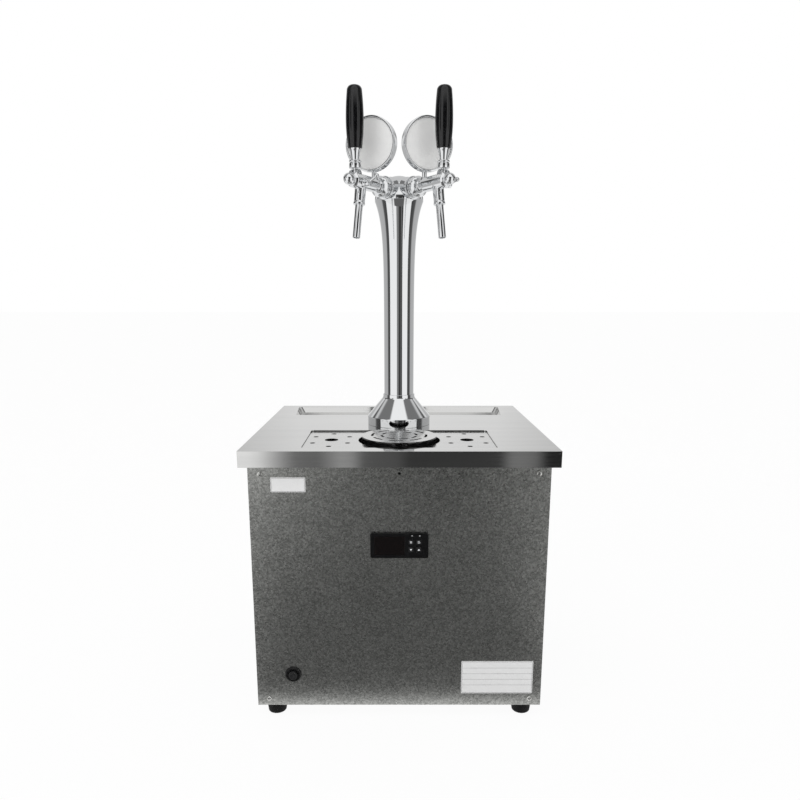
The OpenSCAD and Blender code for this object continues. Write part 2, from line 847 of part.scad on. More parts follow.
// Taps. In a tap's frame x is sideways, y is up, and z runs out from the tower along the tap's axis

module tap(side) {
    translate([0, tower_y, tap_z]) rotate([0, 0, side * tap_yaw]) rotate([90, 0, 0]) children();
}

// Stands children upright on the tap's axis: z is up and -y is forward
module upright(u) {
    translate([0, 0, u]) rotate([-90, 0, 0]) children();
}

tail_fit = 0.2;
tail_r = shank_d / 2 - 0.1;
neck_r = 8;
waist_r = 7.6;
ridge_u = nut_end + 2;
ridge_t = 1.5;
shoulder_back = 40;
shoulder_u = handle_u - shoulder_back;
shoulder_len = 3;
medal_boss_y = tap_d / 2 + 0.5;
medal_boss_wall = 1.8;
medal_root = tap_bore / 2 + 0.5;
nose_gap = 7;
nose_u = handle_u + nose_d / 2 + nose_gap;
nose_neck_r = nose_d * 0.32;
seat_back = 24.8;
seat_u = handle_u - seat_back;
seat_len = 3.8;
seat_d = 8.4;
bore_end = handle_u + 6;
bore_wall = 2.5;
cross_half = 6.5;
trunnion_half = 5;
lever_slot = 6.2;
slot_back = 4.5;
slot_len = 10.8;
socket_rim = 3;
socket_wall = 2.2;
flow_y = -3;
flow_u = handle_u - flow_back;
flow_shaft_d = 5;
flow_boss_wall = 2.5;
flow_in = 6.6;
flow_fit = 0.1;
flow_turn = 30;
flow_arm_d = 3.8;
flow_ball_d = 6.4;
hub_gap = 0.2;
hub_t = 5;
hub_wall = 2;
shank_edge = 1;

module shanks() {
    color(CHROME) for (side = [-1, 1]) tap(side) difference() {
        union() {
            translate([0, 0, shank_in]) cylinder(d = shank_d, h = tail_u - shank_in);
            translate([0, 0, boss_u]) cylinder(d = flange_d, h = flange_t - shank_edge);
            translate([0, 0, boss_u + flange_t - shank_edge])
                cylinder(d1 = flange_d, d2 = flange_d - 2 * shank_edge, h = shank_edge);
        }
        translate([0, 0, shank_in - eps]) cylinder(d = line_d - 2 * line_wall, h = tail_u);
    }
}

nut_edge = 1.2;
groove_u = nut_u + 3.5;
groove_w = 1;
groove_deep = 0.8;
nut_taper = 4;
nut_taper_r = 3.2;

// A round nut with a groove round it and a lip that holds the tap's tail
module coupling_nuts() {
    r = nut_d / 2;
    half = groove_w / 2;
    color(CHROME) for (side = [-1, 1]) tap(side) difference() {
        rotate_extrude() polygon([
            [0, nut_u], [r - nut_edge, nut_u], [r, nut_u + nut_edge], [r, groove_u],
            [r - groove_deep, groove_u + half], [r - groove_deep, groove_u + half + groove_w],
            [r, groove_u + 2 * groove_w], [r, nut_end - nut_taper], [r - nut_taper_r, nut_end], [0, nut_end]
        ]);
        translate([0, 0, nut_u - eps]) cylinder(d = shank_d + loose_fit, h = nut_len - lip_t + eps);
        cylinder(r = neck_r + hole_fit, h = nut_end + eps);
    }
}

// Puts z along a spout, downwards from the tap's axis
module along_spout() {
    upright(handle_u - spout_back) rotate([180 - spout_tilt, 0, 0]) children();
}

// The tap's axis, turned
module tap_barrel() {
    r = tap_d / 2;
    tail_end = nut_end - lip_t - tail_fit;
    rotate_extrude() polygon([
        [0, tail_u], [tail_r, tail_u], [tail_r, tail_end], [neck_r, tail_end], [neck_r, ridge_u - ridge_t],
        [r, ridge_u], [r, ridge_u + ridge_t], [waist_r, ridge_u + 2 * ridge_t],
        [waist_r, shoulder_u - shoulder_len], [r, shoulder_u], [r, bore_end],
        [r - bore_wall, bore_end + bore_wall], [nose_neck_r, bore_end + bore_wall],
        [nose_neck_r, nose_u], [0, nose_u]
    ]);
    translate([0, 0, nose_u]) sphere(d = nose_d);
}

// A cylinder across the tap, about the trunnions' axis
module across_pivot(d, half) {
    translate([0, pivot_up, handle_u]) rotate([0, 90, 0]) cylinder(d = d, h = 2 * half, center = true);
}

module tap_body(side) {
    socket_d = spout_d + 2 * socket_wall;
    color(CHROME) tap(side) difference() {
        union() {
            tap_barrel();
            across_pivot(cross_d, cross_half);
            upright(medal_u) cylinder(d = medal_stem_d + 2 * medal_boss_wall, h = medal_boss_y);
            translate([0, flow_y, flow_u]) rotate([0, 90, 0])
                cylinder(d = flow_shaft_d + 2 * flow_boss_wall, h = flow_hub_x);
            along_spout() cylinder(d1 = 2 * waist_r, d2 = socket_d, h = socket_len - socket_rim);
            along_spout() translate([0, 0, socket_len - socket_rim])
                cylinder(d = socket_d + 1, h = socket_rim);
        }
        translate([0, 0, tail_u - eps]) cylinder(d = tap_bore, h = seat_u - tail_u + eps);
        cylinder(d = seat_d, h = bore_end);
        translate([0, 0, seat_u + seat_len]) cylinder(d = tap_bore, h = bore_end - seat_u - seat_len);
        across_pivot(trunnion_d + 2 * trunnion_gap, trunnion_half + hole_fit / 2);
        translate([-lever_slot / 2, 0, handle_u - slot_back])
            cube([lever_slot, pivot_up + cross_d, slot_len]);
        upright(medal_u) translate([0, 0, medal_root])
            cylinder(d = medal_stem_d + hole_fit, h = medal_boss_y);
        translate([flow_in - hub_gap, flow_y, flow_u]) rotate([0, 90, 0])
            cylinder(d = flow_shaft_d + 2 * flow_fit, h = flow_hub_x);
        along_spout() cylinder(d = spout_d - 2 * spout_wall, h = socket_len);
        along_spout() translate([0, 0, socket_len - spout_depth])
            cylinder(d = spout_d + hole_fit, h = spout_depth + eps);
    }
}

module spout(side) {
    color(CHROME) tap(side) along_spout() translate([0, 0, socket_len - spout_depth])
        ring(spout_d, spout_d - 2 * spout_wall, spout_len - socket_len + spout_depth);
}

plunger_head = 6;
plunger_seat = 0.2;
plunger_rod_d = seat_d - 3.4;
guide_back = 6.5;
guide_gap = 1.4;
tip_play = 0.5;

module plunger(side) {
    head_end = seat_u - plunger_seat;
    guide_u = handle_u - guide_back;
    guide_end = bore_end - guide_gap;
    slot_w = tip_d + 2 * tip_play;
    color("goldenrod") tap(side) difference() {
        union() {
            translate([0, 0, head_end - plunger_head]) cylinder(d = plunger_d, h = plunger_head);
            translate([0, 0, head_end - eps]) cylinder(d = plunger_rod_d, h = guide_u - head_end + 2 * eps);
            translate([0, 0, guide_u]) cylinder(d = plunger_d, h = guide_end - guide_u);
        }
        translate([-slot_w / 2, -slot_w / 2, handle_u - slot_w / 2]) cube([slot_w, tap_bore, slot_w]);
        translate([-slot_w / 2, 2 * tip_play, handle_u - slot_w]) cube([slot_w, tap_bore, 2 * slot_w]);
    }
}

lever_neck_d = 5.4;
lever_arm_d = 3.6;
collar_edge = 0.8;
collar_groove = collar_h * 0.6;
stud_in = 16;

module lever(side) {
    r = collar_d / 2;
    low = r - collar_edge;
    color(CHROME) tap(side) {
        across_pivot(trunnion_d, trunnion_half);
        upright(handle_u) {
            translate([0, 0, pivot_up]) cylinder(d = lever_neck_d, h = collar_up + eps);
            cylinder(d = lever_arm_d, h = pivot_up);
            sphere(d = tip_d);
            translate([0, 0, collar_z]) rotate_extrude() polygon([
                [0, 0], [low, 0], [r, collar_edge], [r, collar_groove], [low, collar_groove + collar_edge],
                [low, collar_groove + 2 * collar_edge], [r, collar_groove + 3 * collar_edge],
                [r, collar_h - collar_edge], [low, collar_h], [0, collar_h]
            ]);
            translate([0, 0, ferrule_z - eps]) cylinder(d = handle_stud_d, h = ferrule_h + eps + stud_in);
        }
    }
}

stud_gap = 0.1;
stud_bore = 18;
handle_steps = 14;

module ferrule(side) {
    bore = handle_stud_d / 2 + stud_gap;
    tip = ferrule_tip_d / 2;
    top = ferrule_d / 2;
    color(CHROME) tap(side) upright(handle_u) translate([0, 0, ferrule_z]) rotate_extrude() polygon(concat(
        [[bore, 0], [tip, 0]],
        [for (i = [1 : 8]) bezier([tip, 1], [tip + 0.4, ferrule_h * 0.55], [top, ferrule_h - 1.5], i / 8)],
        [[top, ferrule_h], [bore, ferrule_h]]
    ));
}

// Radius of a handle at a share t of its length
function handle_r(t) =
    let (s = t < handle_belly ? (handle_belly - t) / handle_belly : (t - handle_belly) / (1 - handle_belly))
    handle_d / 2 - (handle_d - handle_foot_d) / 2 * s * s;

module handle(side) {
    bore = handle_stud_d / 2 + stud_gap;
    shoulder = handle_h - handle_round;
    round_r = handle_r(shoulder / handle_h) - handle_round;
    color(BLACK) tap(side) upright(handle_u) translate([0, 0, handle_z]) rotate_extrude() polygon(concat(
        [[bore, 0]],
        [for (i = [0 : handle_steps]) let (z = shoulder * i / handle_steps) [handle_r(z / handle_h), z]],
        [for (a = [15 : 15 : 90]) [round_r + handle_round * cos(a), shoulder + handle_round * sin(a)]],
        [[0, handle_h], [0, stud_bore], [bore, stud_bore]]
    ));
}

module flow_lever(side) {
    hub_x = flow_hub_x + hub_gap;
    color(CHROME) tap(side) translate([0, flow_y, flow_u]) {
        translate([flow_in, 0, 0]) rotate([0, 90, 0]) cylinder(d = flow_shaft_d, h = hub_x - flow_in + eps);
        translate([hub_x, 0, 0]) rotate([0, 90, 0]) cylinder(d = flow_shaft_d + 2 * hub_wall, h = hub_t);
        translate([hub_x + hub_t / 2, 0, 0]) rotate([0, 0, flow_turn]) {
            rotate([0, 90, 0]) cylinder(d = flow_arm_d, h = flow_arm);
            translate([flow_arm, 0, 0]) sphere(d = flow_ball_d);
        }
    }
}

medal_y = medal_boss_y + medal_stem + medal_d / 2;
medal_edge = 3;
medal_hold = 16;
stem_seat = 0.1;
stem_bite = 1.2;
face_t = 1.5;

// Puts z along a medallion's axis from the middle of its back, which the stem bites into
module at_medallion(side) {
    tap(side) translate([0, medal_y, medal_u]) rotate([0, -side * medal_turn, 0])
        translate([0, 0, medal_stem_d / 2 - stem_bite]) children();
}

// A dish with a rounded back edge and a rounded rim, on a stem that runs up its back
module medallion(side) {
    r = medal_d / 2;
    bead = medal_rim / 2;
    floor_t = medal_t - medal_dish - face_t;
    stem_z = medal_root + stem_seat;
    color(CHROME) {
        at_medallion(side) rotate_extrude($fn = 96) polygon(concat(
            [[0, 0]],
            [for (a = [-90 : 15 : 0]) [r - medal_edge * (1 - cos(a)), medal_edge * (1 + sin(a))]],
            [for (a = [0 : 15 : 90]) [r - bead * (1 - cos(a)), medal_t - bead * (1 - sin(a))]],
            [[r - medal_rim, medal_t - bead], [r - medal_rim, floor_t], [0, floor_t]]
        ));
        tap(side) upright(medal_u) translate([0, 0, stem_z])
            cylinder(d = medal_stem_d, h = medal_boss_y + medal_stem + medal_hold - stem_z);
    }
}

module medallion_faces() {
    color("whitesmoke") for (side = [-1, 1])
        at_medallion(side) translate([0, 0, medal_t - medal_dish - face_t])
            cylinder(d = medal_d - 2 * medal_rim - hole_fit, h = face_t, $fn = 96);
}

// Cooling, inside the cabinet

// A closed six-sided tube of the given radius along a path that winds about the tank's axis
tube_sides = 6;
function unit(v) = v / norm(v);
function tangent(path, i) = unit(path[min(i + 1, len(path) - 1)] - path[max(i - 1, 0)]);
function tube_ring(p, t, r) =
    let (out = [p.x - tank_x, p.y - tank_y, 0], n = unit(out - (out * t) * t), b = cross(n, t))
    [for (k = [0 : tube_sides - 1]) p + r * (cos(360 * k / tube_sides) * n + sin(360 * k / tube_sides) * b)];

module tube(path, r) {
    n = len(path);
    m = tube_sides;
    points = [for (i = [0 : n - 1]) each tube_ring(path[i], tangent(path, i), r)];
    sides = [
        for (i = [0 : n - 2], k = [0 : m - 1])
            let (a = i * m + k, b = i * m + (k + 1) % m)
            each [[a, b, b + m], [a, b + m, a + m]]
    ];
    near = [for (k = [1 : m - 2]) [0, k + 1, k]];
    far = [for (k = [1 : m - 2]) [(n - 1) * m, (n - 1) * m + k, (n - 1) * m + k + 1]];
    polyhedron(points, concat(sides, near, far));
}

// Points of a pipe that drops through the lid, bends, winds down about the tank's axis and runs straight to
// its end. The first turn's lead_in degrees bring it from the riser's radius to the coil's
coil_steps = 24;
bend_r = 12;
bend_steps = 5;
lead_in = 45;
function on_coil(r, a, z) = [tank_x + r * cos(a), tank_y + r * sin(a), z];
function coil(riser, r, top, z_start, a_start, a_end, end) =
    let (
        bend_a = bend_r / riser * 180 / PI,
        sweep = a_end - a_start - bend_a,
        n = ceil(sweep / 360 * coil_steps)
    )
    concat(
        [on_coil(riser, a_start, top)],
        [for (i = [0 : bend_steps - 1]) let (b = 90 * i / bend_steps)
            on_coil(riser, a_start + bend_a * (1 - cos(b)), z_start + bend_r * (1 - sin(b)))],
        [for (i = [0 : n]) let (a = sweep * i / n, share = min(1, a / lead_in))
            on_coil(riser + (r - riser) * share, a_start + bend_a + a, z_start + (end.z - z_start) * i / n)],
        [end]
    );

// Least gap between one turn and the next
function turn_gap(path, d) = min([
    for (i = [0 : len(path) - 1], j = [i + coil_steps / 2 : 1 : len(path) - 1]) norm(path[i] - path[j])
]) - d;

// The outer coil cools the left tap's beer, and the inner one the right tap's
coil_turns = 6;
coil_below_lid = 30;
inlet_d = 16;
inlet_in = 8;
inlet_up = 40;
inlet_pitch = 28;
inlet_y = cab_d / 2 - sheet_t - inlet_in;
function coil_side(i) = i == 0 ? -1 : 1;
function riser_at(i) = [line_x(coil_side(i)) - tank_x, line_y - tank_y];
function coil_r(i) = tank_inner / 2 - (i + 1) * coil_gap - (i + 0.5) * line_d;
function coil_z(i) = tank_top - coil_below_lid - i * (line_d + coil_gap);
function inlet_x(i) = tank_x + coil_r(i);
function inlet_z(i) = tank_floor + inlet_up + inlet_pitch * (1 - i);
function beer_path(i) = coil(
    norm(riser_at(i)), coil_r(i), lid_top, coil_z(i), 360 + atan2(riser_at(i).y, riser_at(i).x),
    360 * (coil_turns + 1), [inlet_x(i), inlet_y, inlet_z(i)]
);

evap_turns = 5;
evap_start = 300;
evap_up = 14;
evap_over = 10;
evap_out = 12;
evap_r = coil_r(1) - (line_d + evap_d) / 2 - coil_gap;
evap_z = tank_floor + evap_up;
evap_end = -tank_reach - evap_out;
evap_path = coil(
    evap_r, evap_r, lid_top + evap_over, coil_z(0), evap_start, 360 * (evap_turns + 1) + 90,
    [evap_end, tank_y + evap_r, evap_z]
);
echo(beer_coil_gaps = [for (i = [0, 1]) turn_gap(beer_path(i), line_d)]);
echo(evaporator_gap = turn_gap(evap_path, evap_d));

gland_d = 16;
gland_x = -20;
gland_z = 60;
shaft_gap = 0.08;

module tank() {
    color(FOAM) difference() {
        translate([tank_x - tank_w / 2, tank_y - tank_d / 2, pan_z]) cube([tank_w, tank_d, tank_h]);
        translate([tank_x - tank_w / 2 + tank_wall, tank_y - tank_d / 2 + tank_wall, pan_z + tank_wall])
            cube([tank_w - 2 * tank_wall, tank_d - 2 * tank_wall, tank_h]);
        for (i = [0, 1])
            translate([inlet_x(i), tank_y, inlet_z(i)]) rotate([-90, 0, 0])
                cylinder(d = line_d + 2 * hole_fit, h = tank_d);
        translate([tank_x, tank_y + evap_r, evap_z]) rotate([0, -90, 0])
            cylinder(d = evap_d + 2 * hole_fit, h = tank_w);
    }
}

module tank_lid() {
    color(FOAM) difference() {
        translate([tank_x - tank_w / 2, tank_y - tank_d / 2, tank_top]) cube([tank_w, tank_d, lid_t]);
        for (i = [0, 1])
            at_line(coil_side(i)) translate([0, 0, tank_top - eps])
                cylinder(d = line_d + 2 * hole_fit, h = lid_t + 2 * eps);
        at_evaporator_riser() translate([0, 0, tank_top - eps])
            cylinder(d = evap_d + 2 * hole_fit, h = lid_t + 2 * eps);
        translate([tank_x, tank_y, tank_top - eps]) cylinder(d = agitator_d + 2, h = lid_t + 2 * eps);
    }
}

module beer_coils() {
    color(STEEL) for (i = [0, 1]) tube(beer_path(i), line_d / 2);
}

module at_evaporator_riser() {
    translate([tank_x + evap_r * cos(evap_start), tank_y + evap_r * sin(evap_start), 0]) children();
}

module evaporator() {
    color(COPPER) tube(evap_path, evap_d / 2);
}

agitator_d = 6;
stir_motor_d = 42;
stir_motor_h = 36;
stir_flange_d = 54;
stir_flange_t = 4;
stir_socket = 20;
stir_end_gap = 2;
stir_up = 70;
stir_hub_d = 14;
stir_hub_h = 12;
stir_blade_len = 22;
stir_blade_w = 14;
stir_blade_t = 2;
stir_pitch = 35;

module agitator_motor() {
    color(BLACK) translate([tank_x, tank_y, lid_top]) difference() {
        union() {
            cylinder(d = stir_flange_d, h = stir_flange_t);
            cylinder(d = stir_motor_d, h = stir_motor_h);
        }
        translate([0, 0, -eps]) cylinder(d = agitator_d + 2 * shaft_gap, h = stir_socket + eps);
    }
}

module agitator() {
    blade_z = tank_floor + stir_up;
    color(STEEL) translate([tank_x, tank_y, blade_z]) {
        cylinder(d = agitator_d, h = lid_top + stir_socket - stir_end_gap - blade_z);
        cylinder(d = stir_hub_d, h = stir_hub_h);
        for (a = [0 : 90 : 270])
            rotate([0, 0, a]) translate([stir_hub_d / 3, 0, stir_hub_h / 2]) rotate([stir_pitch, 0, 0])
                translate([0, -stir_blade_t / 2, -stir_blade_w / 2])
                    cube([stir_blade_len, stir_blade_t, stir_blade_w]);
    }
}

comp_crown = 34;
comp_seam = 2;
comp_plate_t = 3;
comp_plate_over = 24;
comp_plate_r = 10;
mount_x = comp_d * 0.36;
mount_y = comp_d * 0.4;
mount_d = 20;
mount_pin_d = 7.4;
mount_pin_up = 6;
terminal_w = 44;
terminal_h = 50;
terminal_out = 14;
terminal_up = 70;

module at_mounts() {
    for (x = [-1, 1], y = [-1, 1]) translate([x * mount_x, y * mount_y, 0]) children();
}

// A welded shell with a seam round its middle, on a foot plate, with its terminal cover at the front
module compressor() {
    r = comp_d / 2;
    seam_z = comp_h * 0.45;
    color(BLACK) translate([comp_x, comp_y, pan_z + mount_h]) {
        translate([0, 0, comp_plate_t]) rotate_extrude() polygon(concat(
            [[0, 0], [r * 0.7, 0]],
            [for (a = [-75 : 15 : 0]) [r * (0.7 + 0.3 * cos(a)), comp_crown / 2 * (1 + sin(a))]],
            [for (corner = [[0, 0], [1, 0], [1, 2], [0, 2]]) [r, seam_z] + comp_seam * corner],
            [for (a = [0 : 10 : 90]) [r * cos(a), comp_h - comp_plate_t - comp_crown * (1 - sin(a))]]
        ));
        difference() {
            linear_extrude(comp_plate_t + eps)
                rounded_rect(2 * mount_x + comp_plate_over, 2 * mount_y + comp_plate_over, comp_plate_r);
            at_mounts() translate([0, 0, -eps])
                cylinder(d = mount_pin_d + 2 * hole_fit, h = comp_plate_t + 3 * eps);
        }
        translate([-terminal_w / 2, -r - terminal_out, terminal_up])
            cube([terminal_w, 2 * terminal_out, terminal_h]);
    }
}

module compressor_mounts() {
    color(BLACK) translate([comp_x, comp_y, pan_z]) at_mounts() {
        cylinder(d = mount_d, h = mount_h);
        cylinder(d = mount_pin_d, h = mount_h + mount_pin_up);
    }
}

fin_t = 1;
fin_count = 16;
tube_rows = 5;
tube_d = 8;
tube_in = 0.2;

module condenser() {
    z0 = fan_z - cond_s / 2;
    gap = (cond_s - fin_t) / (fin_count - 1);
    color(STEEL) translate([cond_x, fan_y - cond_s / 2, 0]) {
        for (i = [0 : fin_count - 1]) {
            foot = i == 0 || i == fin_count - 1 ? pan_z : z0;
            translate([0, i * gap, foot]) cube([cond_t, fin_t, z0 + cond_s - foot]);
        }
        for (j = [0 : tube_rows - 1])
            translate([cond_t / 2, tube_in, z0 + (j + 0.5) * cond_s / tube_rows]) rotate([-90, 0, 0])
                cylinder(d = tube_d, h = cond_s - 2 * tube_in);
    }
}

motor_d = 60;
motor_len = 34;
motor_step = 6;
motor_socket = 22;
motor_end_gap = 2;
bar_w = 12;
bar_t = 3;
fan_clear = 5;
fan_lip = 1;
fan_shaft_d = 6;
fan_hub_d = 36;
fan_blades = 5;
fan_blade_w = 34;
fan_blade_t = 1.6;
fan_pitch = 32;

module fan_shroud() {
    arm_y = fan_d / 2 + fan_clear;
    reach = motor_x + motor_len - shroud_x;
    color(ZINC) {
        difference() {
            translate([shroud_x, fan_y - cond_s / 2, pan_z])
                cube([shroud_t, cond_s, fan_z + cond_s / 2 - pan_z]);
            translate([shroud_x - eps, fan_y, fan_z]) rotate([0, 90, 0])
                cylinder(r = arm_y - fan_lip, h = shroud_t + 2 * eps);
        }
        for (s = [-1, 1])
            translate([shroud_x, fan_y + s * (arm_y + bar_t / 2) - bar_t / 2, fan_z - bar_w / 2])
                cube([reach, bar_t, bar_w]);
        translate([shroud_x + reach, fan_y - arm_y - bar_t, fan_z - bar_w / 2])
            cube([bar_t, 2 * (arm_y + bar_t), bar_w]);
    }
}

module fan_motor() {
    color(BLACK) translate([motor_x, fan_y, fan_z]) rotate([0, 90, 0]) difference() {
        union() {
            cylinder(d = motor_d - 2 * motor_step, h = motor_len);
            translate([0, 0, motor_step]) cylinder(d = motor_d, h = motor_len - 2 * motor_step);
        }
        translate([0, 0, -eps]) cylinder(d = fan_shaft_d + 2 * shaft_gap, h = motor_socket + eps);
    }
}

module fan() {
    color(STEEL) translate([fan_x, fan_y, fan_z]) rotate([0, 90, 0]) {
        cylinder(d = fan_hub_d, h = fan_len);
        cylinder(d = fan_shaft_d, h = motor_x - fan_x + motor_socket - motor_end_gap);
        intersection() {
            cylinder(d = fan_d, h = fan_len);
            for (i = [0 : fan_blades - 1])
                rotate([0, 0, 360 * i / fan_blades]) translate([0, 0, fan_len / 2]) rotate([fan_pitch, 0, 0])
                    translate([fan_hub_d / 4, -fan_blade_w / 2, -fan_blade_t / 2])
                        cube([fan_d / 2, fan_blade_w, fan_blade_t]);
        }
    }
}

// Fittings on the rear panel

// A fitting that points out of the rear panel: z runs outwards from the panel's face
module on_rear(x, z) {
    translate([x, cab_d / 2, z]) rotate([-90, 0, 0]) children();
}

fitting_fit = 0.2;
fitting_nut_over = 7;
fitting_nut_t = 3;
inlet_tail_d = 13;
inlet_tail_len = 8;
inlet_bore = 6;
inlet_end = 2;
gland_bore = 7.5;
gland_nose = 5;
gland_step = 2;

// The body of a fitting in the rear panel, with the nut that holds it
module rear_fitting(d) {
    translate([0, 0, -sheet_t - inlet_in]) cylinder(d = d - 2 * fitting_fit, h = sheet_t + inlet_in + eps);
    cylinder(d = d + fitting_nut_over, h = fitting_nut_t, $fn = 6);
}

module beer_inlets() {
    color(CHROME) for (i = [0, 1]) on_rear(inlet_x(i), inlet_z(i)) difference() {
        union() {
            rear_fitting(inlet_d);
            cylinder(d = inlet_tail_d, h = inlet_tail_len);
        }
        translate([0, 0, -sheet_t - inlet_in + inlet_end])
            cylinder(d = inlet_bore, h = sheet_t + inlet_in + inlet_tail_len);
    }
}

module cable_gland() {
    color(BLACK) on_rear(gland_x, gland_z) difference() {
        union() {
            rear_fitting(gland_d);
            translate([0, 0, fitting_nut_t - eps])
                cylinder(d1 = gland_d + gland_step, d2 = gland_d - 2 * gland_step, h = gland_nose + eps);
        }
        translate([0, 0, -sheet_t - inlet_in - eps])
            cylinder(d = gland_bore, h = sheet_t + inlet_in + fitting_nut_t + gland_nose + 2 * eps);
    }
}

base_pan();
front_panel();
left_side_panel();
right_side_panel();
rear_panel();
corner_posts();
panel_screws();
feet();
top_plate();
drip_basin();
drip_grille();
rinser_disc();
rinser_valve();
controller_housing();
controller_window();
key(0);  // key_set
key(1);  // key_power
key(2);  // key_down
key(3);  // key_up
switch_housing();
power_button();
tower_base();
tower_column();
tower_cap();
tower_studs();
column_foam();
beer_lines();
shanks();
coupling_nuts();
tap_body(-1);  // left_tap_body
tap_body(1);  // right_tap_body
spout(-1);  // left_spout
spout(1);  // right_spout
plunger(-1);  // left_plunger
plunger(1);  // right_plunger
lever(-1);  // left_lever
lever(1);  // right_lever
ferrule(-1);  // left_ferrule
ferrule(1);  // right_ferrule
handle(-1);  // left_handle
handle(1);  // right_handle
flow_lever(-1);  // left_flow_lever
flow_lever(1);  // right_flow_lever
medallion(-1);  // left_medallion
medallion(1);  // right_medallion
medallion_faces();
compressor();
compressor_mounts();
condenser();
fan_shroud();
fan_motor();
fan();
tank();
tank_lid();
beer_coils();
evaporator();
agitator_motor();
agitator();
beer_inlets();
cable_gland();
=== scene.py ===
"""Looks of a two-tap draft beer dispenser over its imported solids. Metres, front towards -Y, +Z up."""

import math

import bmesh
import bpy
from mathutils import Matrix, Vector


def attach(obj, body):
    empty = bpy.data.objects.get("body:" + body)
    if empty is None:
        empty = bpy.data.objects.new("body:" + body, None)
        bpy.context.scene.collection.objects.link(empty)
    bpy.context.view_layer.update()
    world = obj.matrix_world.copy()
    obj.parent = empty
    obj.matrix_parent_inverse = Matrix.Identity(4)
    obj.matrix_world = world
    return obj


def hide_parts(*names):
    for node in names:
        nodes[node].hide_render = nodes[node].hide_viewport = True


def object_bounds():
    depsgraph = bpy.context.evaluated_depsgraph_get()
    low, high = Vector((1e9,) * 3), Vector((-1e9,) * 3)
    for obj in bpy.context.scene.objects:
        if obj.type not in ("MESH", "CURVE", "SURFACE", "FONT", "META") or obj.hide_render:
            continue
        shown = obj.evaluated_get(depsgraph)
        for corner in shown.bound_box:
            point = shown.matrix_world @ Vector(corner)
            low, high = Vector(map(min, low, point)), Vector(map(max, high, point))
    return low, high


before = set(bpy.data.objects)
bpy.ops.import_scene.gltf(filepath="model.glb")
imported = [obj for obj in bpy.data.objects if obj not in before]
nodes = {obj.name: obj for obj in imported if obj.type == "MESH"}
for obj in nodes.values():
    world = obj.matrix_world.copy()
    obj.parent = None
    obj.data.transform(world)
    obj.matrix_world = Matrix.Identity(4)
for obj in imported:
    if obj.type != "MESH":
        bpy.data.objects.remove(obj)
cad_low, cad_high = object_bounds()
scene = bpy.context.scene

# A millimetre in metres, a form's own place, and the turn that points its z axis out of the front
MM = 0.001
ORIGIN = Matrix.Identity(4)
TO_FRONT = Matrix.Rotation(math.pi / 2, 4, "X")
SIDES = {"left": -1, "right": 1}

# Sizes in millimetres and degrees: those of the solids, and those of finer forms that only the looks have

# Cabinet, screws and feet
CAB_W, CAB_D, TOP_Z = 390, 355, 382
FRONT_Y = -CAB_D / 2
SHEET_EASE = 0.3
SCREW_INSET, SCREW_ROWS, SCREW_HEAD_D, SCREW_HEAD_H = 15.5, (30, 350.5), 7, 2.4
SCREW_SHANK_D, SCREW_SHANK_LEN = 3.5, 4
CROSS_LEN, CROSS_W, CROSS_DEPTH = 3.8, 0.84, 1.3
FOOT_H, FOOT_D, FOOT_TIP_D, FOOT_INSET = 20, 29, 25, 22.5
FOOT_BAND_Z, FOOT_BORE_D, FOOT_BORE_H = 14, 11.2, 7

# Pressed top: the lip's and the small edges' bends are shares of the sheet's bend
TROUGH_W, TROUGH_D, TROUGH_Y, TROUGH_DRAFT, TROUGH_LEAN_FROM = 352, 86, 130.5, 6, 6
LIP_H, SHEET_BEND, LIP_BEND, SMALL_BEND = 21.5, 2.6, 0.5, 0.2

# Controls and blank plates
CTRL_Z, CTRL_OUT, KEY_OUT = 254, 4, 0.8
KEYS = {"set": (15.1, 5.2), "power": (25.5, 5.2), "down": (15.1, -5.2), "up": (25.5, -5.2)}
LEGEND_X, LEGEND_Y, LEGEND_W, LEGEND_H = (16.6, 26.5), 13.8, 1.6, 0.7
PRINT_T = 0.06
SWITCH_X, SWITCH_Z, SWITCH_D, SWITCH_OUT = -145, 67, 22.5, 3
SWITCH_BARREL_D, SWITCH_DEPTH, SWITCH_BORE_DEPTH = 18.6, 26, 16
BUTTON_D, BUTTON_OUT, BUTTON_LEN, BUTTON_GAP = 12, 2, 12, 0.3
PLATE_T, PLATE_CORNER, PLATE_MARGIN, BORDER_W, RULE_W = 0.25, 1.2, 1, 0.45, 0.3
BLANK_PLATES = (
    ("small_blank_plate", -143.5, 335.6, 45, 19.6, ()),
    ("large_blank_plate", 134, 62.1, 98, 48.4, (14, 5.5, -3, -11.5)),
)

# Tower
TOWER_Y, COLUMN_D, COLUMN_WALL = 13, 44.5, 1.8
FLARE_D, FLARE_Z, FLARE_LEN = 70, 324, 32
BASE_D, BASE_RIM_H, BASE_CONE_H, BASE_H = 95, 12.5, 41, 46
BASE_GAP, BASE_WALL = 0.15, 1.4
CAP_WALL, CAP_SPIGOT = 2.5, 8
BOSS_FROM, BOSS_FLARE, BOSS_FLARE_U, BOSS_U, BOSS_D = 26, 3.4, 33.5, 38, 26

